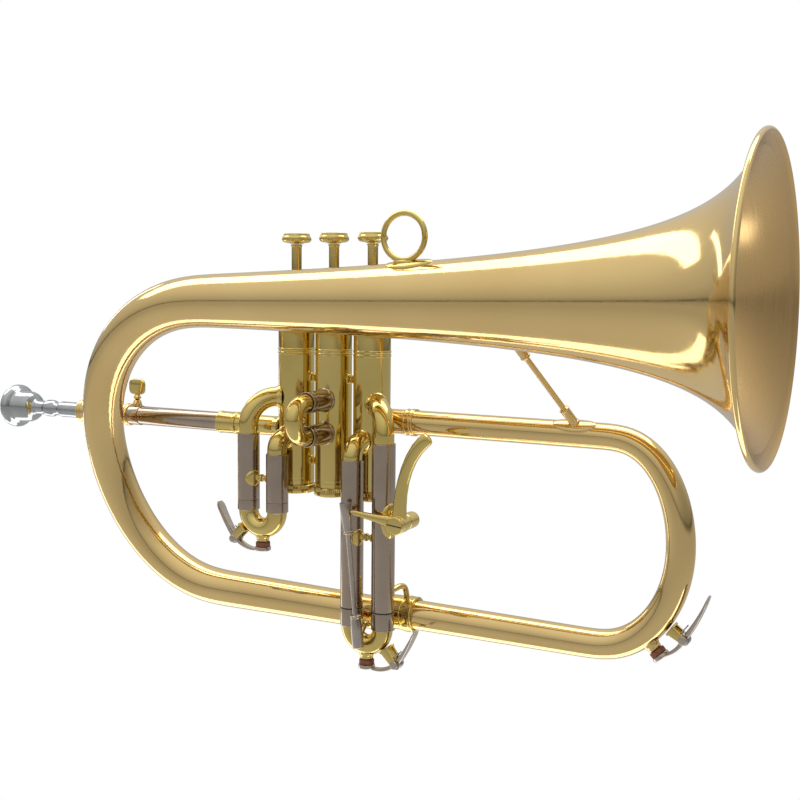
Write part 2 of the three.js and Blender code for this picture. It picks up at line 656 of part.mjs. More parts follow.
// The sliding part: two inner legs, the ferrules that carry on the sleeves, and the bow.
function slideBow(left, right, top, sleeveBottom, ferruleLength) {
  const bendR = (right.x - left.x) / 2;
  const turnZ = sleeveBottom - GAP - ferruleLength;
  const middle = at((left.x + right.x) / 2, left.y, turnZ);
  const arc = new EllipseArc(middle, at(-bendR, 0, 0), at(0, 0, -bendR), 0, Math.PI);
  const route = [
    line(at(left.x, left.y, top), at(left.x, left.y, turnZ)), bend(arc, 8),
    line(at(right.x, right.y, turnZ), at(right.x, right.y, top)),
  ];
  const total = stationsOf(route).at(-1);
  const ferruleStart = (top - sleeveBottom + GAP) / total;
  const ferruleEnd = (top - turnZ) / total;
  return pipe({
    route,
    outer: [
      [SLIDE_R, 0], [SLIDE_R, ferruleStart], [SLEEVE_R, ferruleStart], [SLEEVE_R, ferruleEnd],
      [BEND_R, ferruleEnd], [BEND_R, 1 - ferruleEnd], [SLEEVE_R, 1 - ferruleEnd],
      [SLEEVE_R, 1 - ferruleStart], [SLIDE_R, 1 - ferruleStart], [SLIDE_R, 1],
    ],
    inner: [[SLIDE_BORE_R, 0], [SLIDE_BORE_R, 1]],
    side: Y_AXIS,
    sides: 12,
  });
}

// A brace between two sleeves: a leaf on the left one and a rod to the right one.
function sleeveBrace(left, right, height) {
  const flange = leaf({
    centre: at(left.x, left.y, height), along: Z_AXIS, outward: X_AXIS,
    tubeR: SLEEVE_R, thickness: 0.9, halfLength: 5, halfWidth: 4.6,
  });
  const bar = rod(
    at(left.x + SLEEVE_R + GAP + 0.2, left.y, height), at(right.x - SLEEVE_R - GAP, right.y, height), 1.8, 12,
  );
  return join(flange, bar);
}

const FIRST = {
  left: at(-47.7, -19, 0), right: at(-27.2, -19, 0),
  sleeveBottom: -42.3, ferrule: 6, innerTop: -19.5,
};
const THIRD = {
  left: at(24.9, -20, 0), right: at(45.3, -20, 0),
  sleeveBottom: -97.5, ferrule: 10.5, innerTop: -45,
};
const firstCasing = -VALVE_PITCH;
const thirdCasing = VALVE_PITCH;

add('first_outer_leg_rear', outerLeg(firstCasing, FIRST.left, 19, -2.5, FIRST.sleeveBottom), nickel);
add('first_outer_leg_front', outerLeg(firstCasing, FIRST.right, -4.5, -13.7, FIRST.sleeveBottom), nickel);
add('first_sleeve_brace', sleeveBrace(FIRST.left, FIRST.right, -29), paleBrass);

add('third_outer_leg_rear', outerLeg(thirdCasing, THIRD.left, -3.6, -12.8, THIRD.sleeveBottom), nickel);
add('third_outer_leg_front', outerLeg(thirdCasing, THIRD.right, 18, -2.1, THIRD.sleeveBottom), nickel);
add('third_sleeve_brace', sleeveBrace(THIRD.left, THIRD.right, -56.4), paleBrass);

const bowBottom = (slide) => at(
  (slide.left.x + slide.right.x) / 2, slide.left.y,
  slide.sleeveBottom - GAP - slide.ferrule - (slide.right.x - slide.left.x) / 2 - BEND_R,
);
const down = at(0, 0, -1);
const firstPlacement = keyPlacement(bowBottom(FIRST), down, at(-1, 0, 0));
const thirdPlacement = keyPlacement(bowBottom(THIRD), down, X_AXIS.clone());

const firstBow = slideBow(FIRST.left, FIRST.right, FIRST.innerTop, FIRST.sleeveBottom, FIRST.ferrule);
add('first_slide_bow', withNipple(firstBow, firstPlacement), paleBrass);
addKey('first', firstPlacement, SLIDE_KEY);

// The third slide's bow also carries the stud that the trigger's link turns on.
const STUD_R = 1.6;
const crossBarZ = LINK_FOOT.z + 5;
const crossBar = rod(
  at(THIRD.left.x + SLIDE_R, THIRD.left.y, crossBarZ),
  at(THIRD.right.x - SLIDE_R, THIRD.right.y, crossBarZ), STUD_R, 8,
);
const studAt = (ahead) => LINK_FOOT.clone().setY(LINK_FOOT.y + ahead);
const studArm = rod(at(LINK_FOOT.x, THIRD.left.y, crossBarZ), studAt(4), STUD_R, 8);
const stud = rod(studAt(4.6), studAt(-1), STUD_R, 8);
const thirdBow = slideBow(THIRD.left, THIRD.right, THIRD.innerTop, THIRD.sleeveBottom, THIRD.ferrule);
add('third_slide_bow', withNipple(join(thirdBow, crossBar, studArm, stud), thirdPlacement), paleBrass);
addKey('third', thirdPlacement, SLIDE_KEY);

// The second slide points at the player's right, one leg above the other.
const SECOND = { upperZ: 18.9, lowerZ: -0.5, sleeveEnd: -30, tipY: -42.4, r: 5.2, sleeveR: 6.2 };
const SECOND_BORE = SECOND.r + GAP;
for (const [place, z] of [['upper', SECOND.upperZ], ['lower', SECOND.lowerZ]]) {
  const route = [line(at(0, -CASING_R + 3, z), at(0, SECOND.sleeveEnd, z))];
  const sleeve = plainPipe(route, SECOND.sleeveR, SECOND_BORE, X_AXIS, 12);
  add(`second_sleeve_${place}`, cut(sleeve, casingRoom(0)), nickel);
}
const crookMid = (SECOND.upperZ + SECOND.lowerZ) / 2;
const crookBend = (SECOND.upperZ - SECOND.lowerZ) / 2;
const crookY = SECOND.tipY + crookBend;
const crook = new EllipseArc(
  at(0, crookY, crookMid), at(0, 0, crookBend), at(0, -crookBend, 0), 0, Math.PI,
);
const secondBow = plainPipe([
  line(at(0, -CASING_R - 6, SECOND.upperZ), at(0, crookY, SECOND.upperZ)),
  bend(crook, 7),
  line(at(0, crookY, SECOND.lowerZ), at(0, -CASING_R - 6, SECOND.lowerZ)),
], SECOND.r, SECOND.r - 0.9, X_AXIS, 12);
const pullKnob = join(
  rod(at(0, SECOND.tipY + SECOND.r - 1, crookMid), at(0, SECOND.tipY + SECOND.r + 3, crookMid), 1.3, 8),
  new THREE.SphereGeometry(2.4, 10, 8).translate(0, SECOND.tipY + SECOND.r + 3.6, crookMid),
);
add('second_slide_bow', join(secondBow, pullKnob), paleBrass);

// ---- third-slide trigger ------------------------------------------------------------
const PIVOT = { shaftR: 1.7, headR: 5.1, headH: 3, postR: 4.6, hubR: 5 };
const LEVER = { back: TRIGGER_Y + 2.5, front: TRIGGER_Y - 2.5 };
const pivotPoint = (y) => at(TRIGGER_X, y, TRIGGER_Z);

const postBack = -15;
const postFront = LEVER.back + 1.5;
const post = rod(pivotPoint(postBack), pivotPoint(postFront), PIVOT.postR, 16);
const bracketLeaf = leaf({
  centre: at(THIRD.right.x, THIRD.right.y, TRIGGER_Z - 1), along: Z_AXIS,
  outward: at(0.94, -0.34, 0).normalize(), tubeR: SLEEVE_R, thickness: 1, halfLength: 10, halfWidth: 5.5,
});
const bracketArm = block(5.5, 5, 6, at(55, THIRD.right.y - 1.5, TRIGGER_Z));
add('trigger_bracket', join(post, bracketLeaf, bracketArm), paleBrass);

const headBack = LEVER.front - 1.2;
const screwSlot = block(2 * PIVOT.headR + 2, 1.6, 0.9, pivotPoint(headBack - PIVOT.headH), 0.1);
add('trigger_pivot_screw', cut(join(
  rod(pivotPoint(postFront - GAP), pivotPoint(headBack - 1), PIVOT.shaftR, 12),
  rod(pivotPoint(headBack), pivotPoint(headBack - PIVOT.headH), PIVOT.headR, 20),
), screwSlot), paleBrass);

const leverOutline = new THREE.Shape();
leverOutline.moveTo(TRIGGER_X - 3.4, TRIGGER_Z + 2);
leverOutline.quadraticCurveTo(TRIGGER_X - 4.6, -24, 66.3, -7.2);
leverOutline.quadraticCurveTo(71, 0.4, 76.4, 5.6);
leverOutline.lineTo(81.6, 2.2);
leverOutline.quadraticCurveTo(70, -9, 67, -21);
leverOutline.quadraticCurveTo(65, -30, TRIGGER_X + 4.6, TRIGGER_Z + 1);
const extrudeY = (shape, depth, frontY) => new THREE.ExtrudeGeometry(
  shape, { depth, bevelEnabled: false, curveSegments: 5 },
).rotateX(Math.PI / 2).translate(0, frontY + depth, 0);
const fingerArm = extrudeY(leverOutline, LEVER.back - LEVER.front, LEVER.front);
const hub = rod(pivotPoint(LEVER.back + 1), pivotPoint(LEVER.front - 0.9), PIVOT.hubR, 16);
const BALL_R = 1.6;
const armEnd = LINK_TOP.clone().add(at(5, 0, -0.6));
const shortArm = rod(pivotPoint(TRIGGER_Y), armEnd, 2, 8);
const ballNeck = rod(pivotPoint(TRIGGER_Y), LINK_TOP, 0.8, 8);
const ball = new THREE.SphereGeometry(BALL_R, 10, 8).translate(LINK_TOP.x, LINK_TOP.y, LINK_TOP.z);
const pivotHole = rod(pivotPoint(LEVER.back + 3), pivotPoint(LEVER.front - 3), PIVOT.shaftR + GAP, 12);
add('trigger_lever', cut(join(fingerArm, hub, shortArm, ballNeck, ball), pivotHole), paleBrass);

// The link: an open cup round the lever's ball, a thin rod, and a foot on the bow's stud.
const linkLength = LINK_TOP.distanceTo(LINK_FOOT);
const linkProfile = turned([
  [0, -6.5], [3.3, -6.5], [3.4, 3], [2.7, 11], [1.5, 12], [1.5, linkLength - 13],
  [2.5, linkLength - 12], [3.5, linkLength + 4.5], [2.9, linkLength + 4.5],
  [2.9, linkLength - 4], [0, linkLength - 4],
], 14);
const linkDirection = LINK_TOP.clone().sub(LINK_FOOT).normalize();
const linkTurn = new THREE.Quaternion().setFromUnitVectors(Z_AXIS, linkDirection);
linkProfile.applyQuaternion(linkTurn).translate(LINK_FOOT.x, LINK_FOOT.y, LINK_FOOT.z);
const studHole = rod(studAt(6), studAt(-1.3), STUD_R + GAP, 8);
const cupSlot = block(8, 3.2, 9.5, LINK_TOP.clone().add(at(4, 0, 2)));
add('trigger_link', cut(linkProfile, studHole, cupSlot), nickel);

// ---- finger ring and braces ---------------------------------------------------------
const RING = { x: 73, aside: 7, r: 12, wire: 1.5, leafHalfLength: 14 };
const ringFootR = bellRadiusAt(RING.x + RING.leafHalfLength) + LEAF_EASE + GAP;
const ringOutward = at(0, -RING.aside, Math.sqrt(ringFootR ** 2 - RING.aside ** 2)).normalize();
const ringLeaf = bellLeaf(RING.x + 4, ringOutward, {
  thickness: 1.3, halfLength: RING.leafHalfLength, halfWidth: 6,
});
const ringReach = bellRadiusAt(RING.x + 4) + GAP + RING.wire;
const ringFoot = bellAxis(RING.x).addScaledVector(ringOutward, ringReach);
const ring = new THREE.TorusGeometry(RING.r, RING.wire, 6, 20).rotateX(Math.PI / 2)
  .translate(ringFoot.x, ringFoot.y, ringFoot.z + RING.r);
add('finger_ring', join(ringLeaf, ring), paleBrass);

// The diagonal brace runs from under the bell to the upper branch.
const BRACE = { bellX: 127, tubeX: 150.5, rodR: 1.5, socketR: 2.7, socketLength: 10 };
const braceDirection = at(0, BELL_Y, bellAxis(BRACE.bellX).z - UPPER_Z).normalize();
const braceReach = bellRadiusAt(BRACE.bellX) + LEAF_EASE + GAP + 0.6;
const braceTop = bellAxis(BRACE.bellX).addScaledVector(braceDirection, -braceReach);
const braceFoot = at(BRACE.tubeX, 0, UPPER_Z).addScaledVector(braceDirection, UPPER_R + GAP + 0.5);
const braceSlope = braceTop.clone().sub(braceFoot).normalize();
const diagonalBrace = join(
  bellLeaf(BRACE.bellX, braceDirection.clone().negate(), { thickness: 1, halfLength: 12, halfWidth: 7 }),
  leaf({
    centre: at(BRACE.tubeX, 0, UPPER_Z), along: X_AXIS, outward: braceDirection,
    tubeR: UPPER_R, thickness: 1, halfLength: 12, halfWidth: 5.5,
  }),
  rod(braceFoot, braceTop, BRACE.rodR, 10),
  cut(
    rod(braceFoot, braceFoot.clone().addScaledVector(braceSlope, BRACE.socketLength), BRACE.socketR, 12),
    rod(at(BRACE.tubeX - 8, 0, UPPER_Z), at(BRACE.tubeX + 8, 0, UPPER_Z), UPPER_R + GAP, 24),
  ),
  rod(braceTop.clone().addScaledVector(braceSlope, -BRACE.socketLength), braceTop, BRACE.socketR, 12),
);
add('diagonal_brace', diagonalBrace, lacquer);

// A short brace holds the third casing to the bell.
const CASING_BRACE = { x: VALVE_PITCH, drop: 15.5 };
const braceAxis = bellAxis(CASING_BRACE.x);
const braceBellR = bellRadiusAt(CASING_BRACE.x) + LEAF_EASE;
const contact = at(0, Math.sqrt(braceBellR ** 2 - CASING_BRACE.drop ** 2), -CASING_BRACE.drop).normalize();
const contactPoint = braceAxis.clone().addScaledVector(contact, braceBellR + GAP + 0.4);
const casingFoot = at(CASING_BRACE.x, -CASING_R - GAP, contactPoint.z);
add('casing_brace', join(
  bellLeaf(CASING_BRACE.x, contact, { thickness: 1, halfLength: 9, halfWidth: 5 }),
  cut(
    rod(contactPoint, casingFoot, 2, 10),
    rod(bellAxis(CASING_BRACE.x - 5), bellAxis(CASING_BRACE.x + 5), braceBellR + GAP, 32),
  ),
  rod(casingFoot.clone().setY(casingFoot.y - 1.5), casingFoot, 4, 12),
), paleBrass);

// An arched stay ties the third slide's sleeve to the lower collar.
const stayStart = at(THIRD.right.x + 1.5, THIRD.right.y + SLEEVE_R + GAP + 0.15, -88);
const stayEnd = at(50, 0, FRONT_LOW_Z + COLLAR.r + GAP + 0.1);
const stay = new THREE.CubicBezierCurve3(stayStart, at(48, -5, -86), at(50, -1, -84), stayEnd);
add('slide_stay', plainPipe([bend(stay, 8)], 1.7, 0, at(1, -0.3, 0).normalize(), 10), paleBrass);

export default group;
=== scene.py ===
"""Looks of the flugelhorn: smooth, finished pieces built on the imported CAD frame."""
import json
import math
import bmesh
import bpy
import numpy as np
from mathutils import Matrix, Quaternion, Vector


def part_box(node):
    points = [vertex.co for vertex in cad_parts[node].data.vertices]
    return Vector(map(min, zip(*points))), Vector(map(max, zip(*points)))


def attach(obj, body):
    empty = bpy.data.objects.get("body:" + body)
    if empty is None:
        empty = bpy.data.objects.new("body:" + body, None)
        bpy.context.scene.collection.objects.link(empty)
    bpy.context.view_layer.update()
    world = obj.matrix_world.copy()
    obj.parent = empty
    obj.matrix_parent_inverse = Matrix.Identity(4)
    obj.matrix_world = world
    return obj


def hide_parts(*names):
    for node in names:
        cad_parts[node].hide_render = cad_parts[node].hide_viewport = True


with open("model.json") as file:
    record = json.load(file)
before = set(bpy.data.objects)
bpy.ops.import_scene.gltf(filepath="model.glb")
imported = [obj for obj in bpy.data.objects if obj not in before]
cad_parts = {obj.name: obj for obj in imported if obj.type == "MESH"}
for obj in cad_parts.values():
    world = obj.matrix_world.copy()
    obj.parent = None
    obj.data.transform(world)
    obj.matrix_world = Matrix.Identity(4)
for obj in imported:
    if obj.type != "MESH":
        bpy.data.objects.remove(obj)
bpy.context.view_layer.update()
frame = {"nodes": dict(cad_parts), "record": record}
record = frame["record"]

MM = 0.001
BODY_OF = {n: body for body, nodes in record["behaviour"]["bodies"].items() for n in nodes}
SLOT_OF = {part["node"]: part["material_slot"] for part in record["subparts"]}


def vec(x, y, z):
    return np.array([x, y, z], float)


def unit(v):
    return np.asarray(v, float) / np.linalg.norm(v)


X, Y, Z = vec(1, 0, 0), vec(0, 1, 0), vec(0, 0, 1)


def box_mm(node):
    low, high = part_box(node)
    return np.array(low) / MM, np.array(high) / MM


def centre_mm(node):
    low, high = box_mm(node)
    return (low + high) / 2


def span_mm(node, axis=0):
    """Where a node starts and ends along X (0), Y (1) or Z (2)."""
    low, high = box_mm(node)
    return low[axis], high[axis]


# ---- finishes -----------------------------------------------------------------------
def finish_material(name, base, tint, rough, spread, metallic=1, patch=14.0, fine=260.0,
                    stretch=(1, 1, 1), bump=0.03, painted_hollow_shade=0.35, grain=None):
    """A finish with patches of colour, uneven gloss, fine marks and painted shade that darkens its hollows."""
    mat = bpy.data.materials.new(name)
    mat.use_nodes = True
    nodes, links = mat.node_tree.nodes, mat.node_tree.links
    shader = nodes["Principled BSDF"]
    shader.inputs["Metallic"].default_value = metallic
    place = nodes.new("ShaderNodeTexCoord")

    def noise(scale, detail, squeeze=(1, 1, 1)):
        mapping = nodes.new("ShaderNodeMapping")
        mapping.inputs["Scale"].default_value = squeeze
        texture = nodes.new("ShaderNodeTexNoise")
        texture.inputs["Scale"].default_value = scale
        texture.inputs["Detail"].default_value = detail
        links.new(place.outputs["Object"], mapping.inputs["Vector"])
        links.new(mapping.outputs["Vector"], texture.inputs["Vector"])
        return texture.outputs["Fac"]

    def ranged(value, low, high, start=0.3, end=0.7):
        spread_node = nodes.new("ShaderNodeMapRange")
        spread_node.inputs["From Min"].default_value = start
        spread_node.inputs["From Max"].default_value = end
        spread_node.inputs["To Min"].default_value = low
        spread_node.inputs["To Max"].default_value = high
        links.new(value, spread_node.inputs["Value"])
        return spread_node.outputs["Result"]

    def mixed(factor, first, second):
        mix = nodes.new("ShaderNodeMix")
        mix.data_type = "RGBA"
        links.new(factor, mix.inputs["Factor"])
        for socket, value in ((mix.inputs[6], first), (mix.inputs[7], second)):
            if isinstance(value, tuple):
                socket.default_value = (*value, 1)
            else:
                links.new(value, socket)
        return mix.outputs[2]

    colour = mixed(ranged(noise(patch, 3), 0, 1), base, tint)
    # this darker tint serves both the painted hollow shade below and the real cork grain specks
    shade_and_grain_colour = tuple(channel * 0.45 for channel in tint)
    # painted shade: Pointiness darkens concave hollows and creases towards the darker tint, as if shade fell there
    if painted_hollow_shade:
        painted_hollow_shade_mask = ranged(nodes.new("ShaderNodeNewGeometry").outputs["Pointiness"], painted_hollow_shade, 0, 0.40, 0.49)
        colour = mixed(painted_hollow_shade_mask, colour, shade_and_grain_colour)
    if grain:
        speck = nodes.new("ShaderNodeTexVoronoi")
        speck.inputs["Scale"].default_value = grain
        links.new(place.outputs["Object"], speck.inputs["Vector"])
        colour = mixed(ranged(speck.outputs["Distance"], 0.8, 0, 0.1, 0.5), colour, shade_and_grain_colour)
    links.new(colour, shader.inputs["Base Color"])
    marks = noise(fine, 6, stretch)
    links.new(ranged(marks, rough - spread, rough + spread), shader.inputs["Roughness"])
    bumps = nodes.new("ShaderNodeBump")
    bumps.inputs["Strength"].default_value = bump
    bumps.inputs["Distance"].default_value = 0.0004
    links.new(marks, bumps.inputs["Height"])
    links.new(bumps.outputs["Normal"], shader.inputs["Normal"])
    return mat


LOOKS = {
    "lacquered_brass": dict(base=(0.82, 0.60, 0.265), tint=(0.76, 0.54, 0.225), rough=0.10, spread=0.03),
    "yellow_brass": dict(base=(0.76, 0.59, 0.21), tint=(0.68, 0.51, 0.16), rough=0.11, spread=0.03, patch=30),
    # nickel silver's own tone, partly darkened and browned as painted shade and painted reflection of the brass
    # around it
    "nickel_silver": dict(base=(0.47, 0.38, 0.30), tint=(0.40, 0.32, 0.25), rough=0.14, spread=0.04, patch=40,
                          stretch=(1, 1, 0.15)),
    "silver_plate": dict(base=(0.50, 0.52, 0.52), tint=(0.40, 0.42, 0.42), rough=0.11, spread=0.03, patch=60),
    "spring_steel": dict(base=(0.55, 0.54, 0.52), tint=(0.42, 0.41, 0.40), rough=0.28, spread=0.08, patch=90),
    "cork": dict(base=(0.34, 0.12, 0.06), tint=(0.22, 0.075, 0.04), rough=0.8, spread=0.12, metallic=0, patch=500,
                 fine=900, bump=0.5, grain=900),
    # painted shade: a darker, oranger copy of the lacquered brass for the bell's inside stands in for the shade and
    # brass-on-brass reflection there
    "shaded_bell_inside": dict(base=(0.74, 0.50, 0.22), tint=(0.66, 0.43, 0.18), rough=0.27, spread=0.04, patch=10,
                        fine=30, stretch=(40, 1, 1), bump=0.05),
    "rubber": dict(base=(0.02, 0.018, 0.016), tint=(0.035, 0.03, 0.028), rough=0.55, spread=0.1, metallic=0,
                   patch=300, fine=900, bump=0.2, painted_hollow_shade=0),
    # slot_shade: dark finish for the painted shadow of the trigger screw's slot
    "slot_shade": dict(base=(0.16, 0.11, 0.04), tint=(0.10, 0.07, 0.03), rough=0.45, spread=0.1, patch=200),
    "key_nickel": dict(base=(0.55, 0.48, 0.41), tint=(0.47, 0.41, 0.35), rough=0.16, spread=0.05, patch=120),
}
FINISH = {name: finish_material(name, **look) for name, look in LOOKS.items()}


# ---- shells: (vertices, faces) in millimetres -----------------------------------------
def outward(verts, faces):
    """Turns a closed shell's faces outward."""
    volume = 0.0
    for face in faces:
        a = verts[face[0]]
        for i in range(1, len(face) - 1):
            volume += np.dot(a, np.cross(verts[face[i]], verts[face[i + 1]]))
    return (verts, faces) if volume >= 0 else (verts, [tuple(reversed(face)) for face in faces])


def soften(profile, radius, closed=False, steps=3):
    """Rounds the corners of an outline of (radius, height) pairs."""
    points = [np.array(p, float) for p in profile]
    count = len(points)
    result = []
    for i, point in enumerate(points):
        if not closed and i in (0, count - 1):
            result.append(point)
            continue
        back, ahead = points[i - 1] - point, points[(i + 1) % count] - point
        lengths = np.linalg.norm(back), np.linalg.norm(ahead)
        if min(lengths) < 1e-6:
            result.append(point)
            continue
        cosine = np.dot(back, ahead) / lengths[0] / lengths[1]
        trim = min(radius, 0.45 * lengths[0], 0.45 * lengths[1])
        if cosine < -0.985:
            result.append(point)
            continue
        start, end = point + back / lengths[0] * trim, point + ahead / lengths[1] * trim
        for step in range(steps + 1):
            t = step / steps
            result.append((1 - t) ** 2 * start + 2 * t * (1 - t) * point + t * t * end)
    return [tuple(p) for p in result]


def strip_faces(rings, sides, closed):
    """Quads between rings of vertices; a ring of one vertex is a pole."""
    faces = []
    pairs = list(zip(rings, rings[1:]))
    if closed:
        pairs.append((rings[-1], rings[0]))
    for low, high in pairs:
        for i in range(sides):
            j = (i + 1) % sides
            if len(low) == 1 and len(high) == 1:
                continue
            if len(low) == 1:
                faces.append((low[0], high[j], high[i]))
            elif len(high) == 1:
                faces.append((low[i], low[j], high[0]))
            else:
                faces.append((low[i], low[j], high[j], high[i]))
    return faces


def ring_stack(stations, sides, closed):
    """Shell from (centre, across, up, radius) stations."""
    angles = np.arange(sides) * 2 * math.pi / sides
    verts, rings = [], []
    for centre, across, up, radius in stations:
        if radius < 1e-6:
            rings.append([len(verts)])
            verts.append(centre)
            continue
        wave = getattr(radius, "wave", None)
        rings.append(list(range(len(verts), len(verts) + sides)))
        for angle in angles:
            r = radius if wave is None else radius + wave(angle)
            verts.append(centre + r * (math.cos(angle) * across + math.sin(angle) * up))
    return outward(np.array(verts), strip_faces(rings, sides, closed))


def turned(profile, sides=72, origin=(0, 0, 0), axis=Z, closed=False, corner=0.25):
    """A turned shell: (radius, height) pairs along an axis from an origin."""
    axis = unit(axis)
    helper = X if abs(axis[0]) < 0.9 else Y
    across = unit(np.cross(helper, axis))
    up = np.cross(axis, across)
    origin = np.array(origin, float)
    outline = soften(profile, corner, closed) if corner else profile
    return ring_stack([(origin + axis * h, across, up, r) for r, h in outline], sides, closed)


class Knurl(float):
    """A radius that carries a ribbed edge."""

    def wave(self, angle):
        return 0.14 * math.cos(60 * angle)


def straight(start, end):
    return np.array([start, end], float)


def arc(centre, first, second, start, end, count=48):
    angles = np.linspace(start, end, count + 1)[:, None]
    return np.asarray(centre) + np.cos(angles) * first + np.sin(angles) * second


class Route:
    """A centre line through runs of points, measured along its length."""

    def __init__(self, *runs):
        points = [runs[0][0]]
        for run in runs:
            points += [p for p in run if np.linalg.norm(p - points[-1]) > 1e-5]
        points = np.array(points)
        steps = np.diff(points, axis=0)
        lengths = np.linalg.norm(steps, axis=1)
        directions = steps / lengths[:, None]
        tangents = np.vstack([directions[:1], directions[:-1] + directions[1:], directions[-1:]])
        self.points = points
        self.tangents = tangents / np.linalg.norm(tangents, axis=1)[:, None]
        self.marks = np.concatenate([[0], np.cumsum(lengths)])
        self.length = self.marks[-1]

    def at(self, distance):
        distance = min(max(distance, 0), self.length)
        point = np.array([np.interp(distance, self.marks, self.points[:, k]) for k in range(3)])
        tangent = np.array([np.interp(distance, self.marks, self.tangents[:, k]) for k in range(3)])
        return point, unit(tangent)


def eased(points, spread):
    """Spreads the change of curvature where straight runs meet bends."""
    route = Route(points)
    count = int(route.length / 1.5)
    even = np.array([route.at(route.length * i / count)[0] for i in range(count + 1)])
    gap = route.length / count
    reach = int(3 * spread / gap)
    weights = np.exp(-0.5 * (np.arange(-reach, reach + 1) * gap / spread) ** 2)
    weights /= weights.sum()
    before = even[0] - (even[1] - even[0]) * np.arange(reach, 0, -1)[:, None]
    after = even[-1] + (even[-1] - even[-2]) * np.arange(1, reach + 1)[:, None]
    padded = np.vstack([before, even, after])
    return np.column_stack([np.convolve(padded[:, k], weights, "valid") for k in range(3)])


def swept(route, profile, side, sides=36, closed=False, corner=0.25, step=3.0):
    """A turned outline bent along a route. The profile is (radius, distance) pairs."""
    outline = soften(profile, corner, closed) if corner else list(profile)
    if closed:
        outline = outline + [outline[0]]
    full = [outline[0]]
    for (r0, d0), (r1, d1) in zip(outline, outline[1:]):
        low, high = min(d0, d1), max(d0, d1)
        inside = [m for m in route.marks if low + 0.4 < m < high - 0.4]
        kept, last = [], low
        for mark in inside:
            if mark - last >= 0.9 * step:
                kept.append(mark)
                last = mark
        for mark in kept if d1 > d0 else kept[::-1]:
            full.append((r0 + (r1 - r0) * (mark - d0) / (d1 - d0), mark))
        full.append((r1, d1))
    if closed:
        full = full[:-1]
    stations = []
    for radius, distance in full:
        point, tangent = route.at(distance)
        across = unit(side - np.dot(side, tangent) * tangent)
        stations.append((point, across, np.cross(tangent, across), radius))
    return ring_stack(stations, sides, closed)


def tube_profile(outer, wall):
    """The closed outline of a pipe from its outer (radius, distance) pairs."""
    return list(outer) + [(r - wall, d) for r, d in reversed(outer)]


def tube_along_x(start_x, end_x, start_r, end_r, height=0, wall=1.0, sides=64, corner=0):
    """A straight, plain or tapered, open tube that lies along X."""
    outline = tube_profile([(start_r, start_x), (end_r, end_x)], wall)
    return turned(outline, sides, vec(0, 0, height), X, closed=True, corner=corner)


def slab(outline, thickness, matrix, bevel=0.4, segments=3):
    """A plate from a flat outline, with rounded edges, placed by a 4 x 4 matrix."""
    mesh = bmesh.new()
    corners = [mesh.verts.new((x, y, -thickness / 2)) for x, y in outline]
    face = mesh.faces.new(corners)
    made = bmesh.ops.extrude_face_region(mesh, geom=[face])
    moved = [g for g in made["geom"] if isinstance(g, bmesh.types.BMVert)]
    bmesh.ops.translate(mesh, verts=moved, vec=(0, 0, thickness))
    bmesh.ops.recalc_face_normals(mesh, faces=mesh.faces)
    edges = [e for e in mesh.edges if len(e.link_faces) == 2 and e.calc_face_angle(0) > 0.5]
    bmesh.ops.bevel(mesh, geom=edges, offset=bevel, segments=segments, profile=0.5,
                    affect="EDGES", clamp_overlap=True)
    bmesh.ops.triangulate(mesh, faces=[f for f in mesh.faces if len(f.verts) > 4])
    mesh.verts.index_update()
    place = np.array(matrix)
    verts = np.array([tuple(v.co) for v in mesh.verts]) @ place[:3, :3].T + place[:3, 3]
    faces = [tuple(v.index for v in f.verts) for f in mesh.faces]
    mesh.free()
    return outward(verts, faces)


def basis(x_axis, y_axis, z_axis, origin):
    place = np.eye(4)
    place[:3, 0], place[:3, 1], place[:3, 2], place[:3, 3] = x_axis, y_axis, z_axis, origin
    return place


def leaf(centre, along, away, tube_r, thickness, half_length, half_width, point=1.5, turns=40):
    """A soldered foot that wraps a tube; tube_r is a radius or a function of the distance along."""
    along, away = unit(along), unit(away)
    across = np.cross(along, away)
    radius = tube_r if callable(tube_r) else lambda _: tube_r
    steps = [(0.0, 1), (0.3, 1), (0.55, 0.97), (0.75, 0.88), (0.9, 0.68), (0.97, 0.4), (1.0, 0.02)]
    verts, rings = [], []

    def spot(share, angle, height):
        c, s = math.cos(angle), math.sin(angle)
        u = share * half_length * np.sign(c) * abs(c) ** point
        v = share * half_width * np.sign(s) * abs(s) ** 1.0
        r = radius(u) + height
        turn = v / r
        return centre + along * u + r * (math.cos(turn) * away + math.sin(turn) * across)

    levels = [(s, h * thickness) for s, h in steps] + [(s, -0.4) for s, _ in reversed(steps)]
    for share, height in levels:
        if share == 0:
            rings.append([len(verts)])
            verts.append(spot(0, 0, height))
        else:
            rings.append(list(range(len(verts), len(verts) + turns)))
            verts += [spot(share, 2 * math.pi * i / turns, height) for i in range(turns)]
    return outward(np.array(verts), strip_faces(rings, turns, False))


def loft(spine, half_widths, half_depths, depth_axis=Y, sides=28, power=2.6):
    """A rounded bar along a spine; its section is a squarish oval."""
    spine = [np.array(p, float) for p in spine]
    verts, rings = [], []
    for i, point in enumerate(spine):
        if half_widths[i] < 1e-6:
            rings.append([len(verts)])
            verts.append(point)
            continue
        ahead = spine[min(i + 1, len(spine) - 1)] - spine[max(i - 1, 0)]
        wide = unit(np.cross(depth_axis, unit(ahead)))
        rings.append(list(range(len(verts), len(verts) + sides)))
        for k in range(sides):
            angle = 2 * math.pi * k / sides
            c, s = math.cos(angle), math.sin(angle)
            u = half_widths[i] * np.sign(c) * abs(c) ** (2 / power)
            v = half_depths[i] * np.sign(s) * abs(s) ** (2 / power)
            verts.append(point + wide * u + depth_axis * v)
    return outward(np.array(verts), strip_faces(rings, sides, False))


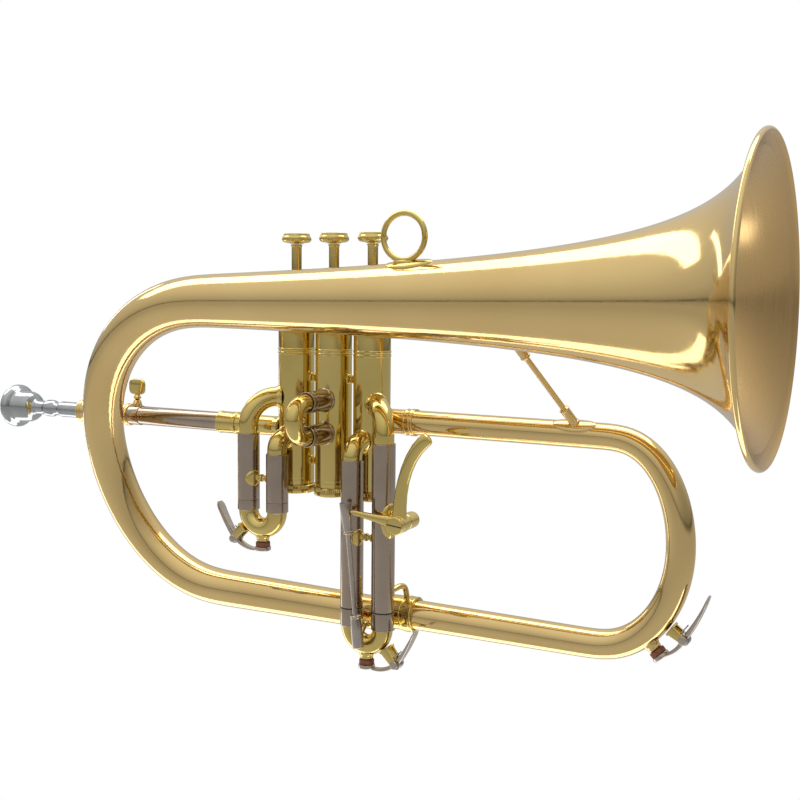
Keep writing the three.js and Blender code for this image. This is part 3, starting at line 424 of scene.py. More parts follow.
def coil(centre, axis, radius, wire, turns, pitch, sides=8, per_turn=28):
    """A wire coil about an axis."""
    axis = unit(axis)
    helper = X if abs(axis[0]) < 0.9 else Z
    first = unit(np.cross(helper, axis))
    second = np.cross(axis, first)
    angles = np.linspace(0, 2 * math.pi * turns, int(per_turn * turns) + 1)
    points = [centre + radius * (math.cos(a) * first + math.sin(a) * second)
              + axis * pitch * (a / (2 * math.pi) - turns / 2) for a in angles]
    return wire_along(points, wire, sides, side=axis)


def wire_along(points, wire, sides=8, side=Y):
    route = Route(np.array(points))
    profile = [(0, 0), (wire, 0)] + [(wire, m) for m in route.marks[1:-1]]
    profile += [(wire, route.length), (0, route.length)]
    stations = []
    for radius, distance in profile:
        point, tangent = route.at(distance)
        across = unit(side - np.dot(side, tangent) * tangent)
        stations.append((point, across, np.cross(tangent, across), radius))
    return ring_stack(stations, sides, False)


def piece(name, shells, node, finish=None, body=None, stands_in=True, crease=38):
    """Makes one finished object from shells, riding where its CAD node does."""
    verts, faces = [], []
    for shell_verts, shell_faces in shells:
        base = len(verts)
        verts += [tuple(v * MM) for v in shell_verts]
        faces += [tuple(base + i for i in face) for face in shell_faces]
    mesh = bpy.data.meshes.new(name)
    mesh.from_pydata(verts, [], faces)
    mesh.polygons.foreach_set("use_smooth", [True] * len(mesh.polygons))
    mesh.set_sharp_from_angle(angle=math.radians(crease))
    mesh.materials.append(FINISH[finish or SLOT_OF[node]])
    made = bpy.data.objects.new(name, mesh)
    bpy.context.scene.collection.objects.link(made)
    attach(made, body or BODY_OF[node])
    if stands_in:
        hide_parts(node)
    return made


# ---- valves -------------------------------------------------------------------------
def ring_bead(z, radius, proud, half=0.9):
    """Profile points of a raised bead round a tube, from below to above."""
    return [(radius, z - half - 0.3), (radius + proud, z - half), (radius + proud, z + half),
            (radius, z + half + 0.3)]


CASING_R = 10.8
for number in (1, 2, 3):
    axis = vec(centre_mm(f"bottom_cap_{number}")[0], 0, 0)
    low, high = span_mm(f"casing_{number}", 2)
    outline = [(CASING_R - 0.12, low), (CASING_R - 0.12, low + 1.2), (CASING_R, low + 1.6)]
    outline += [(CASING_R, low + 3.4), (CASING_R - 0.1, low + 3.6), (CASING_R, low + 3.8)]
    outline += ring_bead(45.4, CASING_R, 0.22, 0.45) + ring_bead(47.6, CASING_R, 0.22, 0.45)
    outline += [(CASING_R, high), (9.4, high), (9.4, low)]
    shells = [turned(outline, 96, axis, closed=True, corner=0.1)]
    if number == 2:
        for height in (31, -18.7):
            for side in (-1, 1):
                baluster = [(0, 9.6), (3.1, 9.6), (3.1, 10.9), (2.4, 11.5), (1.5, 11.9), (1.5, 12.1),
                            (2.5, 12.4), (2.5, 13.5), (1.5, 13.8), (1.5, 14.0), (2.3, 14.2),
                            (3.0, 14.6), (3.0, 15.9), (0, 15.9)]
                shells.append(turned(baluster, 32, vec(0, 0, height), X * side, corner=0.3))
    piece(f"valve_casing_{number}", shells, f"casing_{number}")

    z0, z1 = span_mm(f"top_cap_{number}", 2)
    cap = [(3.2, z0), (9.1, z0), (9.1, 82.3), (10.6, 82.3), (11.2, 82.6), (11.2, 83.4), (Knurl(11.5), 83.6),
           (Knurl(11.5), 87.2), (11.2, 87.4), (11.2, 87.9), (10.6, 88.6), (9.0, 89.6), (7.2, 90.1),
           (6.6, 90.6), (5.2, z1), (3.2, z1)]
    piece(f"valve_top_cap_{number}", [turned(cap, 240, axis, closed=True, corner=0)], f"top_cap_{number}")

    z0, z1 = span_mm(f"bottom_cap_{number}", 2)
    cap = [(1.5, z0), (10.4, z0), (11.1, z0 + 0.25), (11.45, z0 + 0.8), (11.45, z0 + 2.0), (11.1, z0 + 2.3),
           (11.1, z0 + 2.7), (Knurl(11.5), z0 + 3.0), (Knurl(11.5), z0 + 4.6), (11.2, z0 + 4.8),
           (10.9, -33.3), (9.1, -33.3), (9.1, z1), (1.5, z1)]
    piece(f"valve_bottom_cap_{number}", [turned(cap, 240, axis, closed=True, corner=0)], f"bottom_cap_{number}")

    z0, z1 = span_mm(f"finger_button_{number}", 2)
    button = [(0, z0), (3.9, z0), (4.2, z0 + 0.4), (7.0, z0 + 0.8), (8.1, z0 + 1.3), (8.7, z0 + 2.2),
              (8.75, z0 + 3.1), (8.5, z0 + 3.9), (7.9, z0 + 4.6), (7.75, z1 - 0.5), (7.6, z1), (7.1, z1),
              (7.0, z1 - 0.2), (0, z1 - 0.2)]
    piece(f"valve_button_{number}", [turned(button, 80, axis, corner=0.12)], f"finger_button_{number}")

    stem = [(0, 57), (2.97, 57), (2.97, 92.4), (3.0, 107.8), (3.35, 108.2), (3.35, 109.2), (0, 109.2)]
    piece(f"valve_stem_{number}", [turned(stem, 40, axis, corner=0.15)], f"piston_{number}",
          finish="yellow_brass", stands_in=False)


# ---- bell ---------------------------------------------------------------------------
BELL_Y = -43.6
BELL_TAIL = vec(-62, BELL_Y, 75.8)
BELL_LENGTH, BELL_RISE = 317, 0.0131
BELL_RIM_R = 76.5
BELL_AXIS = unit(vec(math.cos(BELL_RISE), 0, math.sin(BELL_RISE)))


def bell_r(from_rim):
    return BELL_RIM_R * ((from_rim + 17) / 17) ** -0.543


def bell_r_at(x):
    return bell_r(BELL_TAIL[0] + BELL_LENGTH - x)


def bell_axis(x):
    return vec(x, BELL_Y, BELL_TAIL[2] + (x - BELL_TAIL[0]) * BELL_RISE)


TAIL_LAP = 36
flare = [3.2 + (BELL_LENGTH - TAIL_LAP - 3.2) * (i / 70) ** 2.1 for i in range(71)]
outer = [(bell_r(s), BELL_LENGTH - s) for s in reversed(flare)]
bead_r, bell_wall = 1.45, 0.95
bead = [(BELL_RIM_R - bead_r + bead_r * math.sin(a), BELL_LENGTH - bead_r - bead_r * math.cos(a))
        for a in np.linspace(0.15, math.pi, 14)]
outside = [(outer[0][0] - 1, TAIL_LAP)] + outer + bead
flare_verts, flare_faces = turned(outside, 180, BELL_TAIL, BELL_AXIS, corner=0)
flare_shell = (flare_verts, [tuple(reversed(face)) for face in flare_faces])
piece("bell_flare", [flare_shell], "bell", crease=60)
inner = [(r - bell_wall, h) for r, h in outer]
inner[-1] = (BELL_RIM_R - bead_r - 2.2, BELL_LENGTH - 2.2)
inside = inner + [(BELL_RIM_R - bead_r - 0.6, BELL_LENGTH - 0.5), (BELL_RIM_R - bead_r, BELL_LENGTH)]
lining = turned(inside, 180, BELL_TAIL, BELL_AXIS, corner=0)
# the lining takes the darker brass copy, painted shade of the bell's inside
piece("bell_lining", [lining], "bell", finish="shaded_bell_inside", stands_in=False, crease=60)

# ---- main tubing --------------------------------------------------------------------
LOWER_Z, MID_Z = -106, -16
REAR_X, LOWER_START = -158, -86
LEAN = BELL_Y / (BELL_TAIL[2] - LOWER_Z)
top_height, foot_height = BELL_TAIL[2] - MID_Z, MID_Z - LOWER_Z
top_arc = arc(vec(BELL_TAIL[0], BELL_Y - LEAN * top_height, MID_Z), vec(REAR_X - BELL_TAIL[0], 0, 0),
              vec(0, LEAN * top_height, top_height), math.pi / 2, 0, 72)
foot_arc = arc(vec(LOWER_START, LEAN * foot_height, MID_Z), vec(REAR_X - LOWER_START, 0, 0),
               vec(0, -LEAN * foot_height, -foot_height), 0, math.pi / 2, 72)
FOOT_LAP = 36
crook_points = np.vstack([[bell_axis(BELL_TAIL[0] + TAIL_LAP + 0.4)], top_arc, foot_arc[1:],
                          [vec(LOWER_START + FOOT_LAP, 0, LOWER_Z)]])
rear = Route(eased(crook_points, 10))
bend_length = rear.length - TAIL_LAP - FOOT_LAP
rear_skin = []
for i in range(91):
    d = rear.length * i / 90
    share = (d - TAIL_LAP) / bend_length
    if share < 0:
        radius = bell_r_at(BELL_TAIL[0] + TAIL_LAP - d)
    elif share < 0.45:
        radius = 15.2 - 2.8 * share / 0.45
    elif share < 1:
        radius = 12.4 - 1.1 * (share - 0.45) / 0.55
    else:
        radius = 11.3 - 1.7 / 127 * (share - 1) * bend_length
    rear_skin.append((radius, d))
lean_side = unit(np.cross(vec(0, 1, LEAN), X))
piece("rear_crook", [swept(rear, tube_profile(rear_skin, 1), lean_side, 96, closed=True, corner=0)],
      "rear_bow", crease=60)

lap_r = 11.3 - 1.7 * FOOT_LAP / 127
rear_end = span_mm("lower_branch_rear")[1]
piece("lower_tube_rear", [tube_along_x(LOWER_START + FOOT_LAP - 0.2, rear_end, lap_r, 9.6, LOWER_Z, sides=72)],
      "lower_branch_rear", crease=60)
front_start, JOINT_X = span_mm("lower_branch_front")
FRONT_Z = centre_mm("lower_branch_front")[2]
BRANCH_END = JOINT_X - 14
piece("lower_tube_front", [tube_along_x(front_start, BRANCH_END, 8.6, 7.98, FRONT_Z)], "lower_branch_front",
      crease=60)
start = span_mm("lower_collar")[0]
collar = [(8.7, start), (9.6, start), (9.8, start + 0.4), (9.8, 49.6), (9.6, 49.9), (9.6, 50.4), (10.2, 50.9),
          (10.35, 51.8), (10.2, 55.6), (10.35, 56.0), (10.35, 56.6), (10.0, 57.0), (9.4, 57.2), (8.7, 57.2)]
piece("lower_joint", [turned(collar, 72, vec(0, 0, FRONT_Z), X, closed=True, corner=0.12)], "lower_collar")

UPPER_Z = centre_mm("upper_branch")[2]
skirt = [(7, 35.5), (8.0, 35.5), (7.6, 36.9), (7.1, 38.4), (7, 38.6)]
piece("upper_tube", [tube_along_x(33.5, BRANCH_END, 7, 7, UPPER_Z),
                     turned(skirt, 64, vec(0, 0, UPPER_Z), X, closed=True, corner=0.2)], "upper_branch")
start, end = span_mm("upper_ferrule")
ferrule = [(6.6, start), (7.55, start), (7.7, start + 0.3), (7.7, start + 0.9), (7.5, start + 1.2), (7.5, end - 2.9),
           (7.8, end - 2.6), (7.8, end - 1.9), (7.5, end - 1.6), (7.5, end - 1.1), (7.8, end - 0.8), (7.7, end - 0.1),
           (7.5, end), (6.6, end)]
piece("upper_joint", [turned(ferrule, 64, vec(0, 0, UPPER_Z), X, closed=True, corner=0.15)], "upper_ferrule")

TOP_X, FOOT_X, BOW_X = 172, 165, 207.8
mid_z = (UPPER_Z + FRONT_Z) / 2
front_top = arc(vec(TOP_X, 0, mid_z), vec(0, 0, UPPER_Z - mid_z), vec(BOW_X - TOP_X, 0, 0), 0, math.pi / 2, 60)
front_foot = arc(vec(FOOT_X, 0, mid_z), vec(BOW_X - FOOT_X, 0, 0), vec(0, 0, FRONT_Z - mid_z), 0, math.pi / 2, 60)
BOW_LAP = 14
front_points = np.vstack([[vec(JOINT_X - BOW_LAP, 0, UPPER_Z)], front_top, front_foot[1:],
                          [vec(JOINT_X - BOW_LAP, 0, FRONT_Z)]])
front = Route(eased(front_points, 6))
lap_share = (BOW_LAP + 8) / front.length
front_skin = [(7, 0), (7, lap_share * front.length), (7.9, (1 - lap_share) * front.length), (7.98, front.length)]
piece("front_crook", [swept(front, tube_profile(front_skin, 1), Y, 64, closed=True, corner=0)], "front_bow",
      crease=60)

# ---- leadpipe and mouthpiece --------------------------------------------------------
elbow = [(4.9, -82.5), (6.6, -82.5), (6.9, -82.1), (6.9, -81.0), (6.7, -80.8), (6.7, -70.2), (6.9, -69.9),
         (6.9, -68.2), (6.0, -67.7), (5.9, -40.5), (6.4, -38.2), (6.9, -36.6), (6.9, -35.6), (4.9, -35.6)]
piece("leadpipe_joint", [turned(elbow, 64, closed=True, axis=X, corner=0.15)], "leadpipe_elbow",
      finish="yellow_brass")
start, end = span_mm("leadpipe_sleeve")
piece("leadpipe_outer", [tube_along_x(start, end, 6, 6, wall=0.5, corner=0.1)], "leadpipe_sleeve")

start, end = span_mm("clamp_collar")
clamp = [(6.05, start), (7.0, start), (7.2, start + 0.4), (7.2, start + 1.3), (6.8, start + 1.7),
         (6.8, start + 2.3), (7.2, start + 2.7), (7.1, start + 3.6), (6.8, start + 4), (6.05, start + 4)]
band = [(6.05, start + 4), (6.45, start + 4), (6.45, end - 0.4), (6.3, end), (6.05, end)]
piece("clamp_band", [turned(band, 64, axis=X, closed=True, corner=0.1)], "clamp_collar", finish="nickel_silver")
screw_x = centre_mm("thumbscrew")[0]
boss = [(1.6, 5.9), (3.0, 5.9), (3.0, 7.4), (2.8, 8.0), (2.2, 9.8), (1.6, 10)]
piece("clamp_ring", [turned(clamp, 64, axis=X, closed=True, corner=0.15),
                     turned(boss, 40, vec(screw_x, 0, 0), closed=True, corner=0.15)], "clamp_collar")
spade = []
for i in range(48):
    angle = 2 * math.pi * i / 48
    c, s = math.cos(angle), math.sin(angle)
    spade.append((6.3 * np.sign(c) * abs(c) ** 0.55, 5.1 * np.sign(s) * abs(s) ** 0.6))
spade_plate = slab(spade, 2.3, basis(X, Z, -Y, vec(screw_x, 0, 18.6)), bevel=0.7)
stem = [(0, 6.6), (1.3, 6.6), (1.3, 10.2), (1.9, 10.6), (2.5, 11.2), (2.3, 12.0), (1.6, 13.2), (1.4, 15.5), (0, 15.5)]
piece("clamp_thumbscrew", [spade_plate, turned(stem, 36, vec(screw_x, 0, 0), corner=0.2)], "thumbscrew",
      finish="yellow_brass")

receiver = box_mm("mouthpipe")[0][0]
mouthpipe_end = box_mm("mouthpipe")[1][0]
mouthpipe = [(5.8, receiver), (6.8, receiver), (7.2, receiver + 0.4), (7.2, receiver + 1.4), (6.7, receiver + 1.8),
             (6.7, receiver + 2.2), (7.2, receiver + 2.6), (7.0, receiver + 3.4), (6.3, receiver + 4),
             (6.3, receiver + 26), (5.2, receiver + 30), (5.2, mouthpipe_end), (4.5, mouthpipe_end),
             (4.3, receiver + 15), (5.45, receiver + 14)]
piece("mouthpipe_tube", [turned(mouthpipe, 64, axis=X, closed=True, corner=0.15)], "mouthpipe")

rim_x = box_mm("mouthpiece")[0][0]
cup = [(8.2, 1.6), (8.7, 0.6), (9.3, 0.12), (10, 0), (10.9, 0), (12.3, 0.35), (13.5, 1.0), (14.3, 2.1), (14.6, 3.3),
       (14.65, 4.4), (14.6, 5.6), (14.1, 6.5), (13.1, 7.4), (11.9, 8.1), (11.2, 9.0), (11.05, 10.4),
       (10.75, 13), (10.3, 16.6), (9.8, 18.4), (8.9, 20), (7.0, 21.1), (5.3, 21.8), (4.85, 22.8), (4.6, 30.6),
       (5.1, 31.8), (5.6, 33.2), (5.7, 35.6), (5.6, 37.9), (5.0, 39.3), (4.4, 40.2), (4.35, 42.2), (4.5, 44.3),
       (5.0, 45.6), (5.25, 46.8), (5.2, 50), (5.0, 74.4), (4.1, 74.4), (1.95, 21.5), (2.2, 16), (3.6, 13.4),
       (5.2, 11.4), (6.6, 8.6), (7.5, 5.6), (8.0, 3.4)]
piece("mouthpiece_body", [turned([(r, rim_x + s) for r, s in cup], 96, axis=X, closed=True, corner=0.35)],
      "mouthpiece")


# ---- water keys ---------------------------------------------------------------------
def flat_to_horn(origin, outward_axis, toward):
    """Maps a key drawing's (along, across, out) axes to the horn."""
    across = np.cross(outward_axis, toward)
    return basis(toward, across, outward_axis, origin)


def moved(shell, place):
    verts, faces = shell
    return outward(np.asarray(verts) @ place[:3, :3].T + place[:3, 3], faces)


def curve_through(first, middle, last, count):
    result = []
    for i in range(count + 1):
        t = i / count
        result.append([(1 - t) ** 2 * a + 2 * t * (1 - t) * b + t * t * c
                       for a, b, c in zip(first, middle, last)])
    return result


def key_bar(first, middle, last, start_t, end_t, start_w, end_w, count=14, tip_round=False):
    """A bar in the drawing's plane, with a thickness and a width at each end."""
    points = curve_through(first, middle, last, count)
    spine = [vec(a, 0, b) for a, b in points]
    shares = [i / count for i in range(count + 1)]
    thick = [(start_t + (end_t - start_t) * t) / 2 for t in shares]
    wide = [(start_w + (end_w - start_w) * t) / 2 for t in shares]
    if tip_round:
        wide[-1] *= 0.55
        wide[-2] *= 0.9
    spine = [spine[0]] + spine + [spine[-1]]
    thick = [0] + thick + [0]
    wide = [0] + wide + [0]
    return loft(spine, thick, wide, sides=24, power=4)


NIPPLE_H, CORK_FROM, CORK_TO, CAP_FROM, CAP_TO = 2.6, 2.9, 5.3, 5.6, 8.0


def water_key(prefix, place, pivot, tip, foot):
    """Saddle, lever, cork and spring of one key, from its CAD layout."""
    pin = vec(pivot[0], 0, pivot[1])
    base_low = vec(foot[0], 0, foot[1])
    saddle, heads = [], []
    for side in (-1, 1):
        lean = unit(pin - base_low)
        square = np.cross(Y, lean)
        ear = []
        for i in range(25):
            angle = math.pi * (1 - i / 24)
            ear.append((1.9 * math.cos(angle), np.linalg.norm(pin - base_low) + 1.9 * math.sin(angle)))
        ear = [(-2.6, -0.4), *ear, (2.6, -0.4)]
        mid = base_low + Y * side * 3.45
        saddle.append(moved(slab(ear, 1.2, basis(square, lean, Y, mid), bevel=0.25), place))
        knob = [(0, 3.4), (2.35, 3.4), (2.35, 4.2), (2.0, 4.5), (0, 4.5)]
        heads.append(moved(turned(knob, 32, pin, Y * side, corner=0.2), place))
    plate = [(-3.2, -4.0), (3.2, -4.0), (3.2, 4.0), (-3.2, 4.0)]
    lean = unit(pin - base_low)
    square = np.cross(Y, lean)
    saddle.append(moved(slab(plate, 1.3, basis(square, Y, lean, base_low), bevel=0.3), place))
    saddle.append(moved(turned([(0, -4.0), (0.75, -4.0), (0.75, 4.0), (0, 4.0)], 16, pin, Y), place))
    piece(f"{prefix}_saddle", saddle, f"{prefix}_key_saddle")
    piece(f"{prefix}_pin_heads", heads, f"{prefix}_key_saddle", finish="key_nickel", stands_in=False)

    elbow = (pivot[0] * 0.55, max(pivot[1], 6.8) + 3)
    bulge = ((pivot[0] + tip[0]) / 2 + 0.8, (pivot[1] + tip[1]) / 2 + 1.6)
    mid = (CAP_FROM + CAP_TO) / 2
    lever = [
        key_bar(pivot, bulge, tip, 3.2, 1.1, 5.0, 7.6, tip_round=True),
        key_bar(pivot, elbow, (1.5, mid + 0.3), 2.7, 1.3, 4.0, 4.0),
        turned([(0, CAP_FROM), (4.5, CAP_FROM), (4.75, CAP_FROM + 0.3), (4.75, CAP_TO - 0.5), (4.3, CAP_TO),
                (0, CAP_TO)], 48, corner=0.2),
        turned([(0, -2.5), (2.1, -2.5), (2.5, -2.2), (2.5, 2.2), (2.1, 2.5), (0, 2.5)], 32, pin, Y),
    ]
    piece(f"{prefix}_lever", [moved(shell, place) for shell in lever], f"{prefix}_key_lever",
          finish="key_nickel")

    away = unit(vec(tip[0] - pivot[0], 0, tip[1] - pivot[1]))
    springs = []
    for side in (-1, 1):
        springs.append(coil(pin + Y * side * 1.3, Y, 2.75, 0.34, 2.5, 0.75))
        springs.append(wire_along([pin + Y * side * 2.2 + np.cross(Y, away) * 2.75,
                                   pin + Y * side * 2.2 + np.cross(Y, away) * 2.6 + away * 3.5,
                                   pin + Y * side * 1.6 + np.cross(Y, away) * 1.9 + away * 7.0], 0.34))
    piece(f"{prefix}_return_spring", [moved(shell, place) for shell in springs], f"{prefix}_key_lever",
          finish="spring_steel", stands_in=False)

    cork = turned([(0, CORK_FROM - 0.25), (4.0, CORK_FROM - 0.25), (4.3, CORK_FROM + 0.2), (4.3, CORK_TO - 0.2),
                   (4.1, CORK_TO + 0.25), (0, CORK_TO + 0.25)], 48, corner=0.3)
    piece(f"{prefix}_pad", [moved(cork, place)], f"{prefix}_key_cork")
    nipple = turned([(1.5, -2.5), (4.6, -2.5), (4.2, -0.2), (3.75, 0.5), (3.75, 1.6), (3.5, 2.2), (2.6, NIPPLE_H),
                     (1.5, NIPPLE_H)], 48, closed=True, corner=0.25)
    return moved(nipple, place)


SLIDE_KEY = dict(pivot=(19.6, 2.5), tip=(31.9, -18.6), foot=(13.1, -5))
FRONT_KEY = dict(pivot=(16, 6.5), tip=(41, -3.2), foot=(14, -1.1))

share = math.radians(55.2)
nipple_at = vec(FOOT_X + (BOW_X - FOOT_X) * math.cos(share), 0, mid_z + (FRONT_Z - mid_z) * math.sin(share))
run = unit(vec(-(BOW_X - FOOT_X) * math.sin(share), 0, (FRONT_Z - mid_z) * math.cos(share)))
out = np.cross(run, Y)
front_place = flat_to_horn(nipple_at + out * 7.9, out, -run)
piece("bow_nipple", [water_key("bow", front_place, **FRONT_KEY)], "front_bow", stands_in=False)


# ---- valve slides -------------------------------------------------------------------
SLEEVE_R, SLEEVE_BORE, SLIDE_R, SLIDE_BORE, BEND_R = 6.6, 5.8, 5.5, 4.9, 5.8


def outer_leg(node, casing_x, foot, knee_z, sleeve_top, sleeve_bottom, marks=()):
    """A knuckle out of a casing and the nickel sleeve under it."""
    flat = vec(foot[0] - casing_x, foot[1], 0)
    reach = np.linalg.norm(flat)
    out_axis = flat / reach
    bend_r = min(reach - CASING_R - 1, knee_z - sleeve_top - 0.3)
    inside_point = vec(casing_x, 0, knee_z) + out_axis * 9.7
    corner = vec(foot[0], foot[1], knee_z)
    bend_start = corner - out_axis * bend_r
    bend_centre = bend_start - Z * bend_r
    bent = arc(bend_centre, Z * bend_r, out_axis * bend_r, 0, math.pi / 2, 40)
    knuckle = Route(straight(inside_point, bend_start), bent,
                    straight(vec(foot[0], foot[1], knee_z - bend_r), vec(foot[0], foot[1], sleeve_top - 0.6)))
    skin = [(BEND_R + 1.1, 0), (BEND_R + 1.1, 1.0), (BEND_R + 0.35, 1.8), (BEND_R, 2.8), (BEND_R, knuckle.length)]
    side = np.cross(out_axis, Z)
    piece(f"{node}_knuckle", [swept(knuckle, tube_profile(skin, 0.9), side, 56, closed=True, corner=0.2,
                                    step=1.5)],
          node, finish="yellow_brass")
    outline = [(BEND_R - 0.5, sleeve_top), (SLEEVE_R - 0.1, sleeve_top), (SLEEVE_R, sleeve_top - 0.35)]
    for mark in marks:
        outline += [(SLEEVE_R, mark + 0.22), (SLEEVE_R - 0.14, mark), (SLEEVE_R, mark - 0.22)]
    outline += [(SLEEVE_R, sleeve_bottom + 0.15), (SLEEVE_R - 0.12, sleeve_bottom), (SLEEVE_BORE, sleeve_bottom),
                (SLEEVE_BORE, sleeve_top - 1.5), (BEND_R - 0.5, sleeve_top - 1.5)]
    piece(f"{node}_sleeve", [turned(outline, 64, vec(foot[0], foot[1], 0), closed=True, corner=0.06)],
          node, finish="nickel_silver", stands_in=False)


def slide_bow(node, left, right, top, sleeve_bottom, ferrule, ring=False):
    """Inner legs, ferrules and crook of a slide that points down."""
    bend_r = (right[0] - left[0]) / 2
    turn_z = sleeve_bottom - 0.3 - ferrule
    middle = vec((left[0] + right[0]) / 2, left[1], turn_z)
    bent = arc(middle, vec(-bend_r, 0, 0), vec(0, 0, -bend_r), 0, math.pi, 72)
    crook = Route(straight(vec(left[0], left[1], turn_z + 1.5), vec(left[0], left[1], turn_z)), bent,
                  straight(vec(right[0], right[1], turn_z), vec(right[0], right[1], turn_z + 1.5)))
    shells = [swept(crook, tube_profile([(BEND_R, 0), (BEND_R, crook.length)], 0.9), Y, 56, closed=True,
                    corner=0.1, step=1.2)]
    legs = []
    rings = []
    for foot in (left, right):
        origin = vec(foot[0], foot[1], 0)
        high = sleeve_bottom - (0.75 if ring else 0.12)
        legs.append(turned([(SLIDE_BORE, turn_z), (6.3, turn_z), (SLEEVE_R, turn_z + 0.3), (SLEEVE_R, high - 0.15),
                            (SLEEVE_R - 0.12, high), (SLIDE_R, high), (SLIDE_R, top), (SLIDE_BORE, top)],
                           64, origin, closed=True, corner=0.08))
        rings.append(turned([(5.4, high - 0.1), (6.45, high - 0.1), (6.6, high + 0.1), (6.6, high + 0.45),
                             (6.45, high + 0.65), (5.4, high + 0.65)], 64, origin, closed=True, corner=0.08))
    piece(f"{node}_legs", legs, node, finish="nickel_silver")
    if ring:
        piece(f"{node}_o_rings", rings, node, finish="rubber", stands_in=False)
    return shells


def brace(node, left, right, height):
    """A leaf on the left sleeve with a beaded rod to the right one."""
    origin = vec(left[0], left[1], height)
    gap = right[0] - left[0] - 2 * SLEEVE_R
    rod = [(0, 0.2), (2.6, 0.2), (2.1, 1.0), (1.5, 1.5), (1.5, 2.0), (2.3, 2.5), (2.3, 3.6), (1.5, 4.1),
           (1.5, gap - 1.4), (2.4, gap - 0.9), (2.6, gap + 0.1), (0, gap + 0.1)]
    shells = [leaf(origin, Z, unit(vec(0.90, -0.44, 0)), SLEEVE_R, 0.9, 4.8, 5.4, point=1.2),
              turned(rod, 32, origin + X * SLEEVE_R, X, corner=0.2)]
    piece(f"{node}_beaded", shells, node)


FIRST = dict(left=(-47.7, -19), right=(-27.2, -19), sleeve_bottom=-42.3, ferrule=6, top=-19.5)
THIRD = dict(left=(24.9, -20), right=(45.3, -20), sleeve_bottom=-97.5, ferrule=10.5, top=-45)
outer_leg("first_outer_leg_rear", -26, FIRST["left"], 19, -2.5, FIRST["sleeve_bottom"])
outer_leg("first_outer_leg_front", -26, FIRST["right"], -4.5, -13.7, FIRST["sleeve_bottom"])
outer_leg("third_outer_leg_rear", 26, THIRD["left"], -3.6, -12.8, THIRD["sleeve_bottom"])
outer_leg("third_outer_leg_front", 26, THIRD["right"], 18, -2.1, THIRD["sleeve_bottom"])
brace("first_sleeve_brace", FIRST["left"], FIRST["right"], -29)
brace("third_sleeve_brace", THIRD["left"], THIRD["right"], -56.4)


def bow_foot(slide):
    half = (slide["right"][0] - slide["left"][0]) / 2
    middle = (slide["right"][0] + slide["left"][0]) / 2
    return vec(middle, slide["left"][1], slide["sleeve_bottom"] - 0.3 - slide["ferrule"] - half - BEND_R)


shells = slide_bow("first_slide_bow", **FIRST)
place = flat_to_horn(bow_foot(FIRST), -Z, -X)
shells.append(water_key("first", place, **SLIDE_KEY))
piece("first_slide_crook", shells, "first_slide_bow", stands_in=False)

LINK_TOP, LINK_FOOT = vec(27.5, -31, -40), vec(35.1, -31, -111)
shells = slide_bow("third_slide_bow", ring=True, **THIRD)
place = flat_to_horn(bow_foot(THIRD), -Z, X)
shells.append(water_key("third", place, **SLIDE_KEY))
bar_z = LINK_FOOT[2] + 5
cross = [(0, -4.8), (2.4, -4.8), (1.6, -3.6), (1.5, -2.0), (2.2, -1.4), (2.2, 1.4), (1.5, 2.0), (1.6, 3.6),
         (2.4, 4.8), (0, 4.8)]
shells.append(turned(cross, 28, vec(LINK_FOOT[0], THIRD["left"][1], bar_z), X, corner=0.3))
arm = [vec(LINK_FOOT[0], y, z) for y, z in ((-20, bar_z), (-22.5, bar_z - 0.6), (-25, bar_z - 2.6),
                                            (-27, bar_z - 4.6), (-29, LINK_FOOT[2]), (-32, LINK_FOOT[2]))]
shells.append(wire_along(arm, 1.55, 20, side=X))
piece("third_slide_crook", shells, "third_slide_bow", stands_in=False)

# ---- second slide -------------------------------------------------------------------
UP2, LOW2, SLEEVE_END, TIP_Y, R2 = 18.9, -0.5, -30, -42.4, 5.2
for name, z in (("upper", UP2), ("lower", LOW2)):
    outline = [(5.5, 9.8), (7.1, 9.8), (7.1, 11.0), (6.5, 11.6), (6.2, 12.4), (6.2, 26.2), (6.06, 26.4), (6.2, 26.6),
               (6.2, -SLEEVE_END - 0.3), (6.0, -SLEEVE_END), (5.5, -SLEEVE_END)]
    piece(f"second_sleeve_{name}_tube", [turned(outline, 64, vec(0, 0, z), -Y, closed=True, corner=0.15)],
          f"second_sleeve_{name}")
half2, mid2 = (UP2 - LOW2) / 2, (UP2 + LOW2) / 2
crook_y = TIP_Y + half2
bent = arc(vec(0, crook_y, mid2), Z * half2, -Y * half2, 0, math.pi, 72)
second = Route(straight(vec(0, -17, UP2), vec(0, crook_y, UP2)), bent,
               straight(vec(0, crook_y, LOW2), vec(0, -17, LOW2)))
knob = [(0, R2 - 1), (1.9, R2 - 1), (1.3, R2 + 0.2), (1.2, R2 + 1.0), (1.8, R2 + 1.6), (2.3, R2 + 2.6),
        (2.4, R2 + 3.6), (2.2, R2 + 4.7), (1.4, R2 + 5.6), (0, R2 + 5.9)]
piece("second_slide_crook", [
    swept(second, tube_profile([(R2, 0), (R2, second.length)], 0.9), X, 56, closed=True, corner=0.1, step=1.2),
    turned(knob, 32, vec(0, TIP_Y, mid2), Y, corner=0.2),
], "second_slide_bow")

